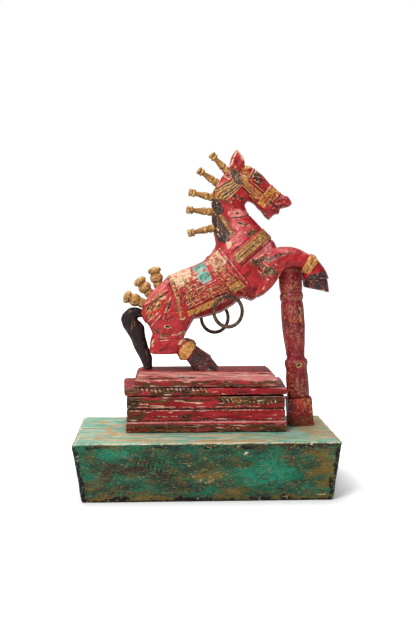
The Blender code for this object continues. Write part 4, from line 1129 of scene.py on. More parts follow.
    @staticmethod
    def neck_marks() -> list[Mark]:
        """Mane, neck, breast strap and shoulder, in the photograph's pixels."""
        g, c, d, b, m, um = Tint.GOLD, Tint.CREAM, Tint.DARK, Tint.BLUSH, Tint.MANE, Tint.UMBER
        return [
            # Pink of worn paint and painted highlight on the lit neck, breast and top of the foreleg
            Stroke((276, 251), (306, 253), 2.6, b, 0, 0.7),
            *spots(
                (237.5, 213.5, 12.5, 4.6, 2, b, 0, 0.95), (243, 227, 16, 6.5, 24, b, 0, 0.72),
                (236, 240, 12, 8, -35, b, 0, 0.72), (267, 247, 8, 5.5, 70, b, 0, 0.95),
                (258, 256, 9, 3.4, -30, b, 0, 0.75), (216, 254, 10, 5, 10, b, 0, 0.75),
            ),
            # Mane strip along the crest
            Patch(((211, 198), (219.5, 199), (225, 211), (221, 216), (211, 216)), m, 0.4),
            Patch(((211, 214), (220.5, 215), (231, 233), (230, 240), (226, 244), (218, 241), (213, 229)), m, 0.4),
            *strokes(
                (220.5, 216.5, 233.4, 236, 2, g, 0.7), (222.4, 215.6, 235, 235, 0.6, um, -0.4),
                (223.5, 215, 236, 234, 0.7, um, -0.4, 0.7), (217, 218, 217.2, 221, 0.5, c, 0.3, 0.9),
                (216.6, 228.5, 218.6, 231, 0.7, c, 0.3, 0.95), (217.8, 234, 219.8, 236.4, 0.7, c, 0.3, 0.95),
                (221, 231, 222, 234, 0.6, c, 0.3, 0.9),
            ),
            *spots((217, 202.5, 1, 1.4, 0, c, 0, 0.9), (214.5, 212, 0.9, 1.4, 0, c, 0, 0.8)),
            *strands(((212, 201), (225, 238)), ((219.5, 206), (217, 243)), (None,) * 7, 0.6, 0.8),
            *parallels((218.8, 219), (222.6, 217), (2.1, 3.1), 6, 0.5, d, -0.3),
            # Neck: a cut across it and knots in the wood
            Patch(((245.5, 235), (250.5, 230), (257.5, 229), (256, 233), (247, 238)), um, -0.3),
            Patch(((250, 231.5), (257, 230), (255, 233), (250, 235)), Tint.HOOF, 0, 0.8),
            Patch(((225, 242), (231.5, 241), (232, 246), (228, 250)), c),
            *strokes(
                (231.5, 218.4, 241.7, 217.2, 0.9, um, -1.3), (241.7, 217.2, 250, 215, 0.7, um, -1),
                (238.5, 223, 247, 224.5, 1.3, um, -0.6), (239, 234, 246, 232.5, 1.1, c, 0.1, 0.85),
                (234.5, 248.4, 238.5, 247, 0.9, d, -0.3, 0.9), (263, 228.8, 233, 253.8, 0.7, c, 0.7, 0.6),
                (262, 228, 231.5, 253.2, 0.7, um, -0.7, 0.6),
            ),
            *spots(
                (237.2, 213, 3, 2.5, 0, c, 0.2, 0.6), (237.2, 213, 2.3, 1.8, 0, um, -0.5),
                (237.6, 228.5, 0.9, 2.4, -25, c, 0.2, 0.9), (230, 252, 1.5, 0.9, 0, c, 0, 0.8),
            ),
            # Breast strap: cords with a dark braid between them, and painted shadow in a dark line along its lower
            # edge
            Patch(((263, 229.5), (271, 237.5), (238.5, 264.5), (232, 256)), g, 0.3, 0.97),
            Patch(((264, 229.5), (267, 229), (271.5, 236.5), (269, 238)), c, 0.4, 0.68),
            *strokes(
                (263.4, 230.4, 233, 256.7, 0.7, c, 0.9, 0.75), (265, 232, 234.2, 258.4, 0.45, d, -0.8, 0.85),
                (266.8, 234, 236.2, 260.4, 1.4, um, -0.2, 0.85), (269.2, 236, 238.2, 262.7, 0.7, g, 1),
                (270.6, 237.6, 239.8, 264.3, 0.55, c, 0.8, 0.6), (272, 239.5, 242, 265.8, 0.9, d, -1.2, 0.8),
            ),
            *parallels((263.8, 237.2), (265.6, 235.6), (-4.2, 3.6), 7, 0.6, g, 0.6),
            *parallels((262, 237), (263.6, 239.2), (-4.2, 3.6), 7, 0.45, d, -0.5),
            # Breast and shoulder
            *strokes(
                (250.5, 261, 262, 255.4, 0.9, c, 0.1, 0.85), (262, 255.4, 269, 253.5, 0.7, c, 0.1, 0.8),
                (268, 260.5, 284, 254, 1.8, um, -0.5), (268, 262, 277, 259, 0.6, c, 0.2, 0.7),
                (279.2, 272.8, 274.4, 279.4, 1.1, d, -0.5), (277, 271, 272, 278, 0.6, c, 0.1, 0.6),
                (268.7, 279.5, 261, 292, 1.2, c, 0.1, 0.75), (262, 294, 255, 298, 0.8, c, 0.1, 0.7),
                (241.5, 290, 247.5, 296.5, 1.2, c, 0.1, 0.75), (276, 280, 284, 262, 0.6, None, -0.6),
            ),
            *spots(
                (255.5, 262.5, 5.2, 3.6, 10, um, -0.4), (263, 259, 6.4, 2.4, -18, um, -0.4, 0.95),
                (262, 266.5, 3.2, 2, 40, um, -0.4), (270, 271, 7.6, 4.4, 12, um, -0.4),
                (263.5, 275, 4.2, 2.6, 30, um, -0.3, 0.9), (274, 266, 4, 1.4, -30, um, -0.3, 0.9),
                (256, 262.5, 2.4, 1.5, 20, d, -0.3, 0.9), (268, 271.5, 3, 1.6, -20, d, -0.3, 0.9),
                (278.4, 267.8, 1.7, 1.5, 0, d, -0.4),
            ),
            *parallels((257, 270), (268, 280), (3.2, -3.8), 3, 0.5, c, 0.1),
            # Foreleg, with a cream painted highlight along its top edge
            *strokes(
                (283, 248.2, 298, 249.7, 0.8, c, 0.1, 0.6), (275.5, 256.2, 284, 254, 1.1, d, -0.3, 0.8),
                (285, 252, 288, 251, 0.7, c, 0.1, 0.8),
            ),
            Spot((290.5, 253.2), (3.6, 1.3), 4, um, -0.3),
        ]

    @staticmethod
    def saddle_marks() -> list[Mark]:
        """The painted saddle cloth and its borders, in the photograph's pixels."""
        g, c, d, t, o, um, p = Tint.GOLD, Tint.CREAM, Tint.DARK, Tint.TEAL, Tint.OCHRE, Tint.UMBER, Tint.PANEL
        return [
            # Panel before the seat, with scrolls in gold and its border lines
            Patch(((206, 260), (216, 251), (246, 284), (236, 292), (218, 284)), p, 0.2, 0.9),
            Patch(((204, 263), (218, 249), (229, 261), (215, 273)), c, 0, 0.86),
            Patch(((224, 259), (240, 278), (232, 285), (216, 272)), c, 0, 0.62),
            Patch(((227, 288), (240, 279.5), (246.5, 286), (234, 294)), o, 0.3, 0.95),
            *strokes(
                (219.7, 249, 247.4, 283.4, 0.8, c, 1, 0.8), (218.8, 251.2, 245.8, 285, 0.5, d, -0.8, 0.8),
                (212, 256.8, 241.5, 288, 0.7, g, 0.9), (213.8, 256.2, 243.3, 287, 0.5, d, -0.6, 0.75),
                (215.4, 255, 244.8, 285.6, 0.55, g, 0.7), (206.5, 260, 224, 281.5, 0.6, g, 0.7),
                (229, 289.5, 241, 282, 0.5, d, -0.5, 0.8), (232, 292.3, 244.5, 284.4, 0.5, d, -0.5, 0.8),
            ),
            *curls(
                ((214.5, 264, 200), (218.5, 268.5, 20), (222.5, 273, 200), (226.5, 277, 20), (231, 281, 200),
                 (214, 272, 20), (218, 277, 200), (222.5, 281.5, 20)), 3.0, g, 0.65, 0.4,
            ),
            *parallels((226, 262), (229, 260.4), (3.4, 4.0), 6, 0.6, um, -0.3),
            # Lower panel with dark and gold scrolls, its hem and the strip under it
            Patch(((182, 290), (213, 284), (230, 282), (236, 285), (188, 308)), p, 0.2),
            Patch(((186, 311.5), (213, 299), (224, 294.5), (222, 302), (204, 311), (188, 317)), o, 0.1, 0.92),
            Patch(((212, 299), (236, 288.5), (233, 296), (214, 306)), o, 0.1, 0.64),
            *strokes(
                (186, 308.8, 213.5, 296.6, 0.7, c, 0.9, 0.8), (213.5, 296.6, 238, 286, 0.7, c, 0.9, 0.8),
                (187, 310.4, 236, 288, 0.5, d, -0.8, 0.8), (187, 304.8, 233, 284, 0.55, g, 0.6),
                (188, 317.5, 231, 298, 0.6, g, 0.5, 0.7), (196, 289.6, 216, 280.4, 0.65, c, 0.7, 0.8),
                (196, 291.3, 216, 282.2, 0.5, d, -0.7, 0.8),
            ),
            *(
                mark
                for number, (u, v) in enumerate(
                    ((186, 299), (190, 293.5), (194, 298.5), (198.5, 291), (202, 295), (206.5, 288.5), (210.5, 291.5),
                     (215, 285.5), (219, 288.5))
                )
                for mark in (
                    *curl((u, v), 3.1, 200 - 180 * (number % 2), g, 0.65, 0.4),
                    *curl((u + 1.4, v + 1.8), 2.4, 30 + 180 * (number % 2), um, 0.6, -0.5),
                )
            ),
            *parallels((194, 314.5), (196.5, 308.5), (6.5, -2.8), 5, 0.5, um, -0.5),
            *parallels((196, 313.5), (198, 308.5), (6.5, -2.8), 5, 0.5, c, 0.3),
            # Seat behind the green: rubbed cream with brown lines
            Patch(((168.5, 274.5), (190, 267.5), (192, 274), (190, 281), (178, 290)), c, 0.1, 0.93),
            Patch(((190, 276), (196, 273), (201, 283), (195, 287)), c, 0, 0.7),
            *strokes(
                (184, 280, 188, 287, 1, um, -0.4, 0.9), (178, 293, 184, 303, 1.1, um, -0.5, 0.95),
                (182, 290, 186, 297, 0.9, d, -0.5, 0.9), (186, 290, 196, 286.5, 0.9, um, -0.3, 0.9),
            ),
            *spots((191, 285, 9, 5, -24, c, 0.1, 0.72), (184, 281, 1.4, 5.5, -18, o, 0.2, 0.9)),
            *parallels((173, 280), (194, 271.5), (1.5, 3.8), 4, 0.5, g, 0.3),
            *parallels((174, 282), (178, 291), (5.6, -2.4), 4, 0.6, um, -0.4),
            *parallels((176.6, 281), (180, 289), (5.6, -2.4), 3, 0.45, o, 0.3),
            # Green seat
            Patch(
                ((189.8, 268), (205.5, 261.5), (212.5, 277), (213, 280.5), (200, 286.5), (195.5, 276)), t, 0.1, 0.9
            ),
            Patch(((199, 277), (208, 271), (213.5, 279.5), (203, 286)), t, 0.1),
            Patch(((191, 267.5), (203.5, 262.5), (206, 267), (194, 273)), t, 0.1),
            *parallels((193, 274), (205, 269), (1.6, 3.4), 3, 0.5, c, 0.0),
            # Rear border of the saddle cloth, braided
            *strokes(
                (168.6, 276, 173.4, 288, 1.8, g, 0.6), (173.4, 288, 178.2, 302, 1.8, g, 0.6),
                (178.2, 302, 180.6, 316, 1.6, g, 0.6), (166.8, 277, 176.8, 303, 0.5, d, -0.8, 0.7),
                (170.6, 275.5, 180.4, 302, 0.5, c, 0.4, 0.72), (176, 308, 179, 317, 0.7, d, -0.4, 0.8),
            ),
            *spots((182.5, 318.6, 3.6, 1.8, -10, c, 0.3, 0.95), (182.8, 318, 1.6, 0.9, -10, d, -0.4)),
            *parallels((167.6, 278.8), (171.4, 277.6), (1.25, 3.6), 10, 0.6, um, -0.5),
            *parallels((168.4, 277), (171.8, 279.6), (1.25, 3.6), 10, 0.4, c, 0.4),
        ]

    @staticmethod
    def quarter_marks() -> list[Mark]:
        """Leaf strokes of the haunch, hock, bracelets and hooves, in the photograph's pixels."""
        g, c, d, b, h, o, um = Tint.GOLD, Tint.CREAM, Tint.DARK, Tint.BLUSH, Tint.HOOF, Tint.OCHRE, Tint.UMBER
        return [
            # Painted highlight with worn pink along the top of the haunch
            Stroke((145, 300), (168, 281.5), 3.6, b, 0, 0.8),
            # Feather strokes
            *strokes(
                (144.6, 305.4, 167, 290, 0.55, c, 0.7), (146.5, 306.5, 168.5, 292.3, 0.6, d, -0.9, 0.8),
                (158, 300.5, 167, 296, 0.6, c, 0.5, 0.9),
            ),
            *(
                mark
                for u, v, turn, size in (
                    (161.5, 296.6, -35, 4.6), (156.6, 300.6, -45, 5.0), (153, 307, -55, 5.0), (147.8, 309.5, -68, 5.0),
                    (150.5, 316, -45, 3.6), (158.5, 306, -50, 3.6),
                )
                for mark in (
                    Spot((u, v), (size * 1.1, 2.0), turn, g, 0.5),
                    Spot((u, v), (size * 0.9, 1.1), turn, d, -0.6),
                    Spot((u + 2.2, v + 1.8), (size, 0.8), turn, c, 0.3, 0.95),
                    Spot((u + 3.4, v + 2.8), (size * 0.7, 0.7), turn, g, 0.3),
                )
            ),
            # Wedge under the saddle cloth's corner
            *strokes(
                (170.4, 297.5, 163, 319, 0.7, c, 0.6, 0.9), (171.8, 298, 165, 317, 0.6, d, -0.8),
                (163, 319.6, 171, 320.6, 0.8, um, -0.6), (171, 320.6, 178.4, 318, 0.7, um, -0.5, 0.8),
                (169.3, 302, 171.8, 303.2, 0.6, c, 0.3), (167.5, 310, 171.3, 303.5, 0.9, d, -0.7),
                (165.8, 314.5, 169, 309.8, 0.7, c, 0.3, 0.9), (173.5, 303, 177.6, 314, 0.6, g, 0.4, 0.8),
                (152, 326, 161, 314.5, 0.6, c, 0.3, 0.85), (151.5, 322, 158.5, 312.5, 0.5, None, -0.5),
                (175, 304, 177, 312, 0.9, um, -0.4), (166, 308, 169.5, 302.5, 1, um, -0.4),
            ),
            *parallels((145.5, 303.5), (150.5, 298.5), (3.4, -2.4), 5, 0.45, g, 0.3),
            *parallels((148, 322), (152, 317), (2.6, -2.0), 4, 0.45, c, 0.3),
            *parallels((164, 304), (169, 299.5), (1.0, 4.4), 4, 0.45, g, 0.3),
            # Hock: knot in the wood and the worn edge above it
            *strokes(
                (156, 330, 159, 334, 0.8, d, -0.3), (172, 327.5, 175, 333, 1, c, 0.1, 0.7),
                (156, 338.4, 181, 337.2, 0.7, c, 0.6, 0.7), (157, 340, 180, 339, 0.5, d, -0.7, 0.6),
                (154.5, 340, 152.6, 346, 0.8, um, -0.3), (180, 347.5, 184, 343.5, 0.7, c, 0, 0.8),
                (151, 354, 180, 354, 0.9, d, 0, 0.5),
            ),
            *spots(
                (167.3, 326.6, 4.2, 2.5, 5, c, 0.2, 0.9), (167.3, 326.6, 3, 1.5, 5, d, -0.6),
                (157, 331.5, 4, 1.8, 50, um, -0.4), (163.5, 335.6, 5.4, 1.5, 3, um, -0.4),
                (174, 335, 5, 1.3, -10, c, 0, 0.85), (181, 333, 5.2, 1.9, -35, c, 0.1, 0.9),
                (181.5, 333.6, 3.4, 0.9, -35, um, -0.4), (153, 343, 1.9, 6, 14, c, 0.1, 0.85),
                (182.5, 341, 6, 2.4, -38, c, 0.1, 0.85), (167.4, 347.8, 1.2, 1.3, 0, d, -0.5),
            ),
            *parallels((160, 341), (166, 340.2), (6.5, -0.6), 3, 0.5, c, 0.1),
            # Hind bracelet and hoof
            Patch(((178, 352), (186, 342), (194.5, 341), (197, 347), (187, 359.5), (181, 360)), o, 0.2),
            Patch(((185, 341), (187, 337), (194, 337.5), (196, 342)), um, 0, 0.95),
            Patch(((187, 360), (196, 348), (199, 344), (212, 356), (222, 371), (192, 371)), h),
            Patch(((194, 356), (199, 351), (209, 364), (200, 369)), Tint.PANEL, 0, 0.2),
            *strokes(
                (186.5, 343.5, 180.8, 354, 0.8, c, 0.5, 0.8), (190, 345, 184.5, 356, 0.55, d, -0.5, 0.8),
                # The pink streak on the hind hoof is painted highlight and wear
                (193.5, 346.5, 187.5, 357.5, 0.55, c, 0.4, 0.8), (197.5, 348.5, 210.5, 357.5, 0.9, b, 0.3),
                (199, 351.5, 210, 362, 0.6, None, -0.6),
            ),
            # Fore bracelet and hoof
            Patch(((300.5, 272), (310, 255), (316.5, 255), (318.5, 263), (308, 274)), o, 0.2),
            Patch(((302, 276), (309, 274.5), (319.5, 262), (332, 280), (332, 294), (304, 288)), h),
            *strokes(
                (312, 256.5, 303.5, 270, 1.3, c, 0.4, 0.9), (314.6, 258.6, 306.4, 272, 0.9, um, -0.6, 0.9),
                # The pink streaks on the fore hoof are painted highlight and wear
                (317.3, 260.5, 309, 273, 0.8, g, 0.6), (314, 277, 325, 274.5, 1.4, b, 0.2, 0.6),
                (309.5, 279.6, 327.5, 279.6, 0.7, d, -1.2), (310, 278.2, 327, 278.2, 0.5, c, 0.6, 0.55),
                (306, 290.5, 329, 292.5, 0.6, b, 0.2, 0.7),
            ),
            *spots(
                (322, 275.4, 2.2, 1.2, 0, g, 0.1, 0.6), (311.5, 281.8, 1.1, 1.6, 0, g, 0.2, 0.8),
                (322, 286, 1.8, 1.3, 0, um, 0.2, 0.8),
            ),
        ]

    def marks(self) -> list[Mark]:
        """Every carved and painted mark of the horse."""
        return [*self.saddle_marks(), *self.quarter_marks(), *self.neck_marks(), *self.head_marks()]

    def build(self) -> None:
        """Shape, carve and dress the horse."""
        piece = copy_node("horse", "horse_carving")
        voxel_skin(piece, self.voxel_mm)
        skin = Skin(piece)
        body = 1 - np.clip(self._crisp(skin), 0, 0.9)
        skin.soften(body, self.rounding)
        skin.lift += 0.25 * body
        skin.apply(self.marks())
        skin.wave(14.0, self.hewn_mm, 3, body)
        skin.wave(5.0, 0.16, 5)
        skin.carve()
        skin.stay_inside("horse")
        skin.note_edges(0.32, 4)
        skin.feather(Tint.UMBER, 4, keep_lines=True)
        skin.feather(Tint.BLUSH, 6)
        skin.feather(Tint.TEAL, 3)
        finish_piece(piece, skin, HORSE_PAINT, ["horse"])

    @staticmethod
    def _crisp(skin: Skin) -> np.ndarray:
        """Where the carving keeps its edges: ears, muzzle, bracelets and hooves."""
        areas = (
            Patch(((226, 140), (248, 140), (248, 168), (226, 168))),
            Patch(((266, 190), (296, 190), (296, 224), (258, 224))),
            Patch(((298, 250), (335, 250), (335, 296), (298, 296))),
            Patch(((178, 336), (225, 336), (225, 374), (178, 374))),
        )
        return np.max([area.cover(skin.u, skin.v) for area in areas], axis=0)


@dataclass(frozen=True)
class CarvedTail:
    """The tail, a piece of its own, cut with long strokes of hair."""

    voxel_mm: float = 1.1
    rounding: int = 26
    hair_mm: float = 2.6
    hair_depth_mm: float = 0.35

    def build(self) -> None:
        """Shape, carve and dress the tail."""
        piece = copy_node("tail", "tail_carving")
        voxel_skin(piece, self.voxel_mm)
        skin = Skin(piece)
        skin.soften(np.full(len(skin.points), 0.9), self.rounding)
        along = skin.points * np.array((1.0, 1.0, 0.16))
        skin.lift += self.hair_depth_mm * cell_noise(along, self.hair_mm * MM, 4)
        skin.wave(9.0, 0.4, 6)
        skin.carve()
        skin.stay_inside("tail")
        skin.note_edges(0.3, 4)
        finish_piece(piece, skin, TAIL_PAINT, ["tail"])


@dataclass(frozen=True)
class TurnedPieces:
    """The mane pegs and the rump finials, each turned and set in its socket.

    Feet and heads are in millimetres along the horse and above the slab, as in the solids.
    """

    peg_places: tuple[tuple[Point, Point], ...] = (
        ((34.7, 292.7), (10.8, 317.8)),
        ((19.4, 275.5), (-8.2, 294.7)),
        ((14.0, 253.9), (-22.0, 262.0)),
        ((11.2, 232.9), (-25.6, 235.9)),
        ((13.0, 208.6), (-23.6, 200.7)),
    )
    finial_places: tuple[tuple[Point, Point], ...] = (
        ((-66.8, 124.0), (-74.4, 151.0)),
        ((-79.9, 111.6), (-98.0, 134.3)),
        ((-90.4, 97.6), (-118.4, 109.1)),
    )
    # Share of the length from the foot, and radius in millimetres
    peg_profile: tuple[Point, ...] = (
        (-0.07, 5.7), (0.0, 5.8), (0.08, 6.1), (0.13, 5.9), (0.165, 4.7), (0.19, 4.6), (0.22, 5.4), (0.28, 5.7),
        (0.36, 5.2), (0.50, 4.3), (0.62, 3.7), (0.69, 3.4), (0.715, 3.6), (0.73, 5.3), (0.77, 5.9), (0.815, 5.6),
        (0.838, 4.7), (0.855, 4.8), (0.875, 5.7), (0.92, 5.9), (0.975, 5.5), (0.995, 4.0), (1.0, 1.2),
    )
    finial_profile: tuple[Point, ...] = (
        (-0.09, 7.2), (0.0, 7.3), (0.08, 7.5), (0.13, 7.2), (0.165, 6.7), (0.20, 7.2), (0.30, 9.0), (0.42, 9.7),
        (0.53, 9.0), (0.61, 7.4), (0.655, 7.1), (0.69, 7.6), (0.725, 9.2), (0.79, 9.9), (0.87, 9.5), (0.94, 7.8),
        (0.985, 4.6), (1.0, 1.4),
    )

    def build(self) -> None:
        """Turn and dress them all."""
        for number, (foot, head) in enumerate(self.peg_places, start=1):
            self._turn(f"mane_peg_{number}", foot, head, self.peg_profile, number)
        for number, (foot, head) in enumerate(self.finial_places, start=1):
            self._turn(f"rump_finial_{number}", foot, head, self.finial_profile, 10 + number)

    @staticmethod
    def _turn(node: str, foot: Point, head: Point, profile: Sequence[Point], seed: int) -> None:
        """Turn one piece in its place.

        Args:
            node: The solid that it stands for.
            foot: Where it meets the wood.
            head: Its far end.
            profile: Share of its length, and radius in millimetres.
            seed: Makes its wear its own.
        """
        base, tip = (Vector((x * MM, PEDESTAL_MIDDLE_Y, SLAB_TOP + z * MM)) for x, z in (foot, head))
        length = (tip - base).length
        measured = [(share * length, r * MM) for share, r in profile]
        piece = turn_on_lathe(f"turned_{node}", ease(measured, PROFILE_STEPS), PEG_SIDES)
        stand_between(piece, base, tip)
        skin = Skin(piece)
        skin.wave(6.0, 0.18, seed)
        skin.carve()
        skin.note_edges(0.13, 3)
        finish_piece(piece, skin, GOLD_PAINT, [node])


@dataclass(frozen=True)
class TurnedPost:
    """The post under the forelegs: a square block and a turned shaft in one piece."""

    x: float = 0.1460
    lean: float = math.radians(4.3)
    floor: float = 0.0823
    block_height: float = 0.0415
    spacing_mm: float = 2.2
    # Height up the post and radius, in millimetres
    profile: tuple[Point, ...] = (
        (40.0, 15.0), (43.0, 16.4), (46.0, 17.0), (66.0, 17.0), (78.0, 16.3), (83.0, 16.0), (85.0, 16.2), (87.0, 16.8),
        (92.0, 17.6), (96.5, 16.9), (98.5, 15.0), (99.5, 14.0), (101.5, 13.6), (106.0, 13.9), (120.0, 15.2),
        (138.0, 16.7), (150.0, 17.2), (168.0, 17.3), (179.0, 17.0), (183.0, 16.2), (185.0, 15.8), (186.5, 16.4),
        (189.0, 17.3), (192.5, 17.7), (195.5, 17.2), (197.5, 16.2), (198.7, 15.9), (200.5, 16.5), (206.0, 17.0),
        (218.0, 17.1), (230.0, 17.1), (234.5, 16.9), (236.0, 15.9),
    )

    def marks(self) -> list[Mark]:
        """Scuffs, the dark plug hole and a painted highlight on the block, in the photograph's pixels."""
        g, d, um, c = Tint.GOLD, Tint.DARK, Tint.UMBER, Tint.CREAM
        return [
            Patch(((282, 306), (306, 306), (305, 315), (283, 314)), c),
            Patch(((291, 314), (306, 314), (306, 345), (296, 340)), c, 0, 0.6),
            Patch(((284, 370), (306, 370), (306, 395), (286, 395)), c, 0, 0.6),
            Patch(((300, 398), (313, 397), (313, 414), (305, 412)), g, 0, 0.66),
            Patch(((286, 418), (313, 414), (314, 430), (286, 430)), um, 0, 0.72),
            Patch(((284, 396), (290, 396), (289, 430), (284, 430)), um, 0, 0.8),
            *strokes(
                (299.5, 308, 301, 323, 1.5, g, -0.2), (293, 314, 295, 323, 1.4, g, -0.2, 0.8),
                (296, 324, 304, 327, 1, d, -0.3), (300, 372, 300, 388, 0.9, d, -0.2),
                (287, 397.6, 312, 396.6, 0.9, c), (286, 427, 313, 426, 1.2, d, 0, 0.9),
            ),
            *spots(
                (299, 365, 3.4, 3.2, 0, g, 0.3), (299, 365, 1.9, 1.9, 0, d, -1), (299.5, 311, 1.6, 3.4, 0, d, -0.3),
                (285, 296, 3, 2, 20, um, -0.2), (301, 297, 2, 3, 0, um, -0.2), (293, 386, 2, 2.6, 0, g, 0, 0.8),
                # Painted highlight lightening the block
                (300, 404, 9, 5, 20, Tint.BLUSH, 0, 0.95), (296, 413, 9, 5, -10, Tint.BLUSH, 0, 0.8),
            ),
        ]

    def build(self) -> None:
        """Shape and dress the post."""
        block = copy_node("post", "post_turning")
        cut_height = self.floor + self.block_height * 0.97
        edit_all(block)
        bpy.ops.mesh.bisect(
            plane_co=(self.x, PEDESTAL_MIDDLE_Y, cut_height),
            plane_no=(-math.sin(self.lean), 0, math.cos(self.lean)), use_fill=True, clear_outer=True,
        )
        bpy.ops.object.mode_set(mode="OBJECT")
        cut_lattice(block, self.spacing_mm)
        foot = Vector((self.x, PEDESTAL_MIDDLE_Y, self.floor - 0.0003))
        head = foot + Vector((-math.sin(self.lean), 0, math.cos(self.lean)))
        measured = [(h * MM, r * MM) for h, r in self.profile]
        shaft = turn_on_lathe("post_shaft", ease(measured, PROFILE_STEPS), SHAFT_SIDES)
        stand_between(shaft, foot, head)
        bpy.ops.object.select_all(action="DESELECT")
        shaft.select_set(True)
        block.select_set(True)
        bpy.context.view_layer.objects.active = block
        bpy.ops.object.join()
        skin = Skin(block)
        skin.apply(self.marks(), smooth_step(-skin.normals[:, 1], -0.1, 0.3))
        skin.wave(9.0, 0.3, 2)
        skin.wave(3.0, 0.14, 7)
        skin.carve()
        skin.stay_inside("post")
        skin.note_edges(0.18, 4)
        finish_piece(block, skin, POST_PAINT, ["post"])


def wear_board(skin: Skin, seed: int, chip_mm: float, dip_mm: float) -> None:
    """Chip a board's edges and let its faces dip along the grain.

    Args:
        skin: The board.
        seed: Makes its wear its own.
        chip_mm: Depth of the deepest chips.
        dip_mm: How uneven its faces are.
    """
    skin.note_edges(0.12, 1)
    along = skin.points * np.array((0.25, 1.0, 1.0))
    chips = smooth_step(cell_noise(skin.points * np.array((0.6, 1.0, 1.0)), 6 * MM, seed), 0.0, 0.8)
    skin.lift -= skin.masks[Tint.RIDGE] * (0.12 + chip_mm * chips)
    skin.lift -= dip_mm * (0.5 + 0.5 * cell_noise(along, 6 * MM, seed + 3))


@dataclass(frozen=True)
class Pedestal:
    """The three boards under the hooves, with worn edges and streaked paint."""

    spacing_mm: float = 2.2
    chip_mm: float = 0.7
    dip_mm: float = 0.35

    def marks(self) -> list[Mark]:
        """Brown, rubbed areas of the front, and the pink of the bevel and edges, which is painted highlight and wear,
        in the photograph's pixels.
        """
        um, b, c, d = Tint.UMBER, Tint.BLUSH, Tint.CREAM, Tint.DARK
        return [
            # Pink bevel of the slab: painted highlight where it faces up, with wear
            Patch(((140, 371), (276, 371), (282, 381), (134, 381)), b, 0, 0.95),
            Patch(((144, 366), (270, 366), (272, 370.5), (141, 370.5)), um, 0, 0.62),
            Patch(((133, 381.5), (286, 380.5), (286, 387), (133, 388)), um, 0, 0.8),
            Patch(((122, 387), (205, 387), (216, 396.5), (122, 399)), um, 0, 0.85),
            # Pink on the cornice's rounded right end: painted highlight
            Patch(((262, 380), (290, 380), (290, 390), (270, 389)), b, 0, 0.7),
            Patch(((210, 392), (240, 394), (240, 397), (210, 397)), um, 0, 0.5),
            Patch(((124, 398), (141, 398), (137, 411), (124, 411)), um),
            Patch(((139, 398), (200, 398), (186, 402.5), (141, 404)), um, 0, 0.78),
            Patch(((214, 397), (288, 396), (288, 403), (250, 404.5), (218, 403)), um, 0, 0.92),
            Patch(((222, 403), (262, 404), (262, 409), (226, 409)), um, 0, 0.62),
            Patch(((268, 399), (288, 399), (288, 410), (274, 408)), um, 0, 0.62),
            Patch(((124, 411), (150, 411.5), (142, 421), (124, 422)), um, 0, 0.8),
            Patch(((225, 413), (288, 412), (288, 420), (240, 420)), um, 0, 0.6),
            Patch(((124, 424.5), (290, 423.5), (290, 433), (124, 435)), um, 0, 0.9),
            *strokes(
                (140, 404.5, 163, 405.6, 0.9, c, 0, 0.95), (175, 401.5, 201, 402.4, 0.8, c, 0, 0.95),
                (158, 407.5, 176, 407.8, 0.7, c, 0, 0.9), (228, 406.5, 262, 405.6, 0.8, c, 0, 0.85),
                (152, 416, 186, 416.8, 0.7, c, 0, 0.8), (124, 409.6, 290, 408.2, 0.8, d, -0.5, 0.95),
                (124, 411, 290, 409.6, 0.6, c, 0.3, 0.72), (222, 395.8, 288, 395, 0.9, d, -0.6),
                (134, 387.4, 286, 386.6, 0.6, d, -0.4, 0.95), (150, 379, 196, 377, 1.6, um, 0, 0.8),
                # Pink line along the base: painted highlight and wear
                (126, 422.8, 288, 421, 1.3, b),
            ),
            *parallels((140, 388), (141.6, 392.5), (4.2, 0.0), 16, 0.6, d, -0.4),
            *parallels((142, 388.4), (143.4, 392), (12.6, 0.0), 6, 0.6, c, 0.2),
            *parallels((214, 390), (216, 394), (5.0, 0.2), 8, 0.5, d, -0.3),
            *parallels((222, 398), (224, 402), (4.4, 0.2), 13, 0.6, c, 0.2),
        ]

    def build(self) -> None:
        """Cut, wear and dress the boards."""
        for number, node in enumerate(("pedestal_base", "pedestal_cornice", "pedestal_top")):
            piece = copy_node(node, f"{node}_board")
            cut_lattice(piece, self.spacing_mm)
            skin = Skin(piece)
            skin.apply(self.marks())
            wear_board(skin, 20 + number, self.chip_mm, self.dip_mm)
            skin.carve()
            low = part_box(node)[0]
            skin.note_edges(0.16, 2)
            # Each board darker along its bottom edge
            bottom_edge_dark = 1 - smooth_step(skin.points[:, 2], low[2] + 0.0003, low[2] + 0.0016)
            skin.masks[Tint.HOLLOW] = np.maximum(skin.masks[Tint.HOLLOW], bottom_edge_dark)
            finish_piece(piece, skin, PEDESTAL_PAINT, [node])


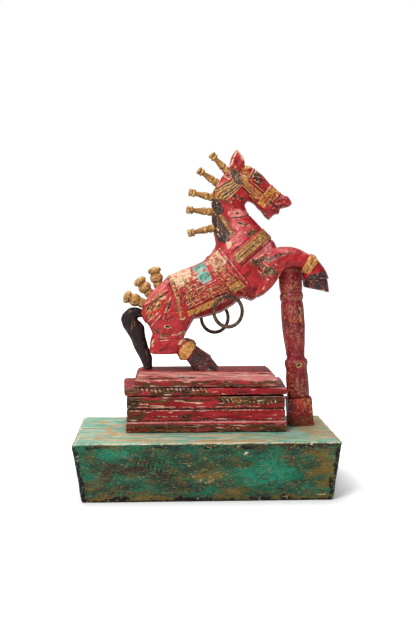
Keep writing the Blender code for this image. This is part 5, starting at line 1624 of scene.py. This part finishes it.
@dataclass(frozen=True)
class Plinth:
    """The hewn green block under everything, chipped along its edges."""

    spacing_mm: float = 2.8
    feather_rounds: int = 14
    blunt_mm: float = 0.3
    chip_mm: float = 1.9
    hewn_mm: float = 0.45
    adze_mm: float = 0.22

    @staticmethod
    def front_marks() -> list[Mark]:
        """Brown, olive and bright areas of the front, in the photograph's pixels."""
        um, o, c, d, t, blue, g = Tint.UMBER, Tint.OCHRE, Tint.CREAM, Tint.DARK, Tint.TEAL, Tint.PANEL, Tint.GOLD
        return [
            Patch(((76, 495), (156, 496), (215, 497), (215, 506), (76, 506)), o, 0, 0.95),
            Patch(((214, 498), (336, 493), (338, 506), (214, 506)), o, 0, 0.75),
            Patch(((240, 443), (344, 440), (344, 449), (240, 450)), um, 0, 0.92),
            Patch(((78, 496), (83, 493), (90, 503), (90, 508), (78, 508)), d, -0.3),
            Patch(((325, 505), (334, 498), (338, 498), (336, 508), (325, 508)), d, -0.3, 0.95),
            *strokes(
                (98, 474, 112, 466, 1, g, 0.2, 0.74), (120, 480, 150, 477, 1, g, 0.2, 0.72),
                (154, 496, 178, 492, 1.2, um, 0, 0.9), (187.5, 465.3, 210, 470.6, 0.9, g, 0.4, 0.84),
                (314, 495, 326, 494, 0.6, c, 0, 0.9), (279, 489.6, 289, 486.6, 1, d, -0.5, 0.9),
            ),
            *spots(
                (114, 471, 17, 7.5, -4, um, -0.4), (106, 474, 10, 6, 0, um, -0.2),
                (152, 474, 28, 5.5, 6, um, -0.2, 0.92), (145, 466, 18, 6, 4, um, -0.1, 0.7),
                (178, 489, 17, 5, -22, um, -0.3, 0.9), (189, 466, 16, 5.5, 8, blue),
                (262, 455, 20, 5, 0, blue, 0, 0.8), (100, 484, 16, 5, 0, o, 0, 0.95),
                (212, 477, 22, 6, 4, o, 0, 0.66), (238, 491, 20, 5, -4, o, 0, 0.66), (318, 453, 14, 8, 20, o, 0, 0.9),
                (328, 474, 9, 18, 8, o, 0, 0.75), (308, 472, 12, 6, 0, o, 0, 0.62), (311, 497, 9, 2.2, -6, o),
                (268, 474, 30, 13, -8, t), (118, 454, 30, 5, 0, t, 0, 0.9), (120, 494, 24, 3, 0, t, 0, 0.8),
                (252.5, 485.5, 1.6, 0.8, 0, o, 0.3), (246, 454, 3.2, 1.4, -20, c, -0.5),
                (252.5, 452.4, 1.4, 0.6, 12, c, -0.4), (259, 499.5, 2.2, 1.6, 0, c, -0.3),
                (156, 502.5, 8, 1, 0, c, -0.3, 0.85), (85, 497, 2.4, 1.2, 30, c, -0.3),
            ),
            *parallels((134, 470), (138, 457), (4.4, 0.5), 7, 1.0, d, -0.5),
            *parallels((188, 474), (214, 480), (3.0, 3.2), 3, 0.8, g, 0.3, 0.8),
            *parallels((206, 476), (222, 471), (2.0, 2.6), 3, 0.7, g, 0.3, 0.76),
            *(Spot((u, 504), (5, 1.8), 0, d, -0.4) for u in (206, 214, 236, 262, 284, 306)),
        ]

    @staticmethod
    def top_marks() -> list[Mark]:
        """Tan blotches and dark streaks of the top, in the photograph's pixels."""
        g, d = Tint.GOLD, Tint.DARK
        return [
            # Dark line on the top along the foot of the pedestal: painted shadow where the two meet
            Stroke((124, 434), (292, 431), 1.4, d, 0, 0.55),
            *spots(
                (99, 437, 7, 2.6, -12, g, 0, 0.9), (111, 431.5, 8, 2.4, 18, g, 0, 0.9),
                (114, 421, 9, 2.4, -8, g, 0, 0.95), (90, 424, 5, 2.6, 0, g, 0, 0.75),
                (150, 440.5, 36, 1.8, 0, g, 0, 0.85), (240, 440, 60, 1.8, -1, g, 0, 0.9),
                (318, 431, 22, 5, 8, g, 0, 0.85), (336, 436, 8, 3, 20, g, 0, 0.85),
            ),
        ]

    def build(self) -> None:
        """Cut, hew, chip and dress the block."""
        piece = copy_node("plinth", "plinth_block")
        cut_lattice(piece, self.spacing_mm)
        skin = Skin(piece, middle_y=0.0)
        skin.note_edges(0.2, 1)
        edge = (skin.masks[Tint.RIDGE] > 0.3).astype(float)
        narrow, wide = skin.spread(edge, 1), skin.spread(edge, 2)
        upward = skin.normals[:, 2]
        skin.apply(self.front_marks(), smooth_step(np.abs(skin.normals[:, 1]), 0.5, 0.9))
        skin.apply(self.top_marks(), smooth_step(upward, 0.6, 0.9))
        for tint in (Tint.UMBER, Tint.OCHRE, Tint.TEAL, Tint.PANEL):
            skin.feather(tint, self.feather_rounds)
        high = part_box("plinth")[1]
        height = skin.points[:, 2]
        ragged = cell_noise(skin.points, 7 * MM, 8) + 0.6 * cell_noise(skin.points, 2.6 * MM, 9)
        chips = smooth_step(ragged, -0.15, 0.35)
        near_floor = 1 - smooth_step(height, 0.0015, 0.0055)
        near_top = smooth_step(height, high[2] - 0.006, high[2] - 0.001)
        dark = skin.masks[Tint.DARK]
        low_edges = 1 - near_top
        skin.masks[Tint.DARK] = np.max(
            (dark, near_floor * (0.75 + 0.25 * chips), low_edges * wide * chips, low_edges * narrow * 0.9), axis=0
        )
        cream = skin.masks[Tint.CREAM]
        bright = smooth_step(cell_noise(skin.points, 6 * MM, 18) - 0.4 * ragged, 0.25, 0.6)
        rim = near_top * (0.72 + 0.28 * bright) * narrow
        skin.masks[Tint.CREAM] = np.max((cream, rim, low_edges * narrow * bright), axis=0)
        skin.lift -= skin.masks[Tint.RIDGE] * (self.blunt_mm + self.chip_mm * chips)
        skin.lift -= self.hewn_mm * (1 + cell_noise(skin.points * np.array((0.5, 1, 1)), 16 * MM, 1))
        skin.lift -= self.adze_mm * (1 + cell_noise(skin.points * np.array((0.4, 1, 1)), 6 * MM, 12))
        skin.lift *= smooth_step(height, -0.001, 0.001) * (1 - smooth_step(-upward, 0.6, 0.9))
        skin.carve()
        skin.note_edges(0.5, 2)
        finish_piece(piece, skin, PLINTH_PAINT, ["plinth"])


@dataclass(frozen=True)
class IronRings:
    """The two loose rings and the eyes that hold them."""

    wire_mm: float = 5.0
    width_mm: float = 47.0
    length_mm: float = 50.5
    flatness: float = 1.12

    def build(self) -> None:
        """Forge and dress the rings and their eyes."""
        for side in ("near", "far"):
            self._ring(f"ring_{side}", f"{side}_ring")
            self._eye(f"ring_eye_{side}")

    def _ring(self, node: str, body: str) -> None:
        """Make one ring where its solid hangs.

        Args:
            node: The solid.
            body: The body that swings with it.
        """
        low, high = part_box(node)
        middle = (low + high) / 2
        mean = (self.width_mm + self.length_mm) / 4 * MM - self.wire_mm / 2 * MM
        bpy.ops.object.select_all(action="DESELECT")
        bpy.ops.mesh.primitive_torus_add(
            major_radius=mean, minor_radius=self.wire_mm / 2 * MM,
            major_segments=RING_SIDES[0], minor_segments=RING_SIDES[1],
            location=middle, rotation=(math.pi / 2, 0, 0),
        )
        piece = bpy.context.active_object
        piece.name = f"forged_{node}"
        bpy.ops.object.transform_apply(location=True, rotation=True, scale=True)
        size = high - low
        corners = np.array([v.co for v in piece.data.vertices])
        made = corners.max(axis=0) - corners.min(axis=0)
        stretch = np.array(size) / made
        stretch[1] = 1.0
        corners = (corners - np.array(middle)) * stretch
        reach = np.hypot(corners[:, 0], corners[:, 2])
        outer = reach.max()
        corners *= np.stack([(outer - (outer - reach) * self.flatness) / reach] * 3, axis=1) ** (1, 0, 1)
        corners += np.array(middle)
        piece.data.vertices.foreach_set("co", corners.astype(np.float32).ravel())
        skin = Skin(piece)
        skin.lift -= 0.06 + 0.06 * cell_noise(skin.points, 6 * MM, 3)
        skin.carve()
        skin.note_edges(0.1, 2)
        finish_piece(piece, skin, IRON, [node], body)

    @staticmethod
    def _eye(node: str) -> None:
        """Round one eye's wire from its solid."""
        piece = copy_node(node, f"forged_{node}")
        apply_subdivision(piece, 2)
        skin = Skin(piece)
        skin.note_edges(0.1, 2)
        finish_piece(piece, skin, IRON, [node])


@dataclass(frozen=True)
class Studio:
    """A plain white floor and soft light from above and in front."""

    key_watts: float = 24.5
    top_watts: float = 21.0
    sky: float = 0.42
    floor_glow: float = 0.12
    floor_size: float = 12
    key_place: tuple[float, float, float] = (-0.75, -1.25, 1.5)
    top_place: tuple[float, float, float] = (-0.2, 0.45, 1.8)

    def build(self) -> None:
        """Add the floor, the lights and the camera."""
        bpy.ops.object.select_all(action="DESELECT")
        bpy.ops.mesh.primitive_plane_add(size=self.floor_size, location=(0, 0, 0))
        floor = bpy.context.active_object
        floor.name = "studio_floor"
        material = bpy.data.materials.new("white studio floor")
        tree = empty_tree(material)
        place = add_node(tree, "ShaderNodeTexCoord", {}, out=3)
        away = add_node(tree, "ShaderNodeVectorMath", {0: place}, out=1, operation="LENGTH")
        glow = add_node(tree, "ShaderNodeMapRange", {0: away, 1: 0.2, 2: 0.6, 3: self.floor_glow, 4: 1.0})
        seen = add_node(tree, "ShaderNodeLightPath", {})
        glow = add_node(tree, "ShaderNodeMath", {0: seen, 1: glow}, operation="MULTIPLY")
        shader = add_node(
            tree, "ShaderNodeBsdfPrincipled",
            {
                "Base Color": linear("#fafafa"), "Roughness": 0.9, "Specular IOR Level": 0.0,
                "Emission Color": (1.0, 1.0, 1.0, 1.0), "Emission Strength": glow,
            },
        )
        add_node(tree, "ShaderNodeOutputMaterial", {"Surface": shader})
        floor.data.materials.append(material)
        floor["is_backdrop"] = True
        self._lamp("key", self.key_place, (0, 0, 0.25), 0.7, self.key_watts)
        self._lamp("top", self.top_place, (0, 0, 0.2), 1.2, self.top_watts)
        self._white_surround()
        bpy.context.scene.view_settings.view_transform = "Standard"
        CAMERA.add()

    def _white_surround(self) -> None:
        """Let the studio look white to the camera and light the object less strongly."""
        world = bpy.data.worlds.new("white studio")
        bpy.context.scene.world = world
        tree = empty_tree(world)
        seen = add_node(tree, "ShaderNodeLightPath", {})
        strength = add_node(
            tree, "ShaderNodeMath", {0: seen, 1: 1 - self.sky, 2: self.sky}, operation="MULTIPLY_ADD"
        )
        light = add_node(tree, "ShaderNodeBackground", {"Color": (1.0, 1.0, 1.0, 1.0), "Strength": strength})
        add_node(tree, "ShaderNodeOutputWorld", {"Surface": light})

    @staticmethod
    def _lamp(name: str, place: Sequence[float], aim: Sequence[float], size: float, watts: float) -> None:
        """Add one soft lamp.

        Args:
            name: Its name.
            place: Where it stands.
            aim: What it points at.
            size: Its side, in metres.
            watts: Its power.
        """
        data = bpy.data.lights.new(name, "AREA")
        data.size = size
        data.energy = watts
        lamp = bpy.data.objects.new(name, data)
        lamp.location = place
        lamp.rotation_euler = (Vector(aim) - Vector(place)).to_track_quat("-Z", "Y").to_euler()
        bpy.context.scene.collection.objects.link(lamp)


def note_size(key: str, sizes: dict[str, list]) -> None:
    """Keep the object's present box under a name."""
    sizes[key] = [list(corner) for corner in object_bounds()]


def main() -> None:
    """Build every sub-assembly in order and note the sizes."""
    logging.basicConfig(level=logging.INFO, format="%(name)s: %(message)s")
    sizes: dict[str, list] = {}
    note_size("cad", sizes)
    for part in (Plinth(), Pedestal(), TurnedPost(), CarvedHorse(), CarvedTail(), TurnedPieces(), IronRings()):
        part.build()
        LOG.info("%s is done", type(part).__name__)
    Studio().build()
    note_size("visual", sizes)


if __name__ == "__main__":
    main()
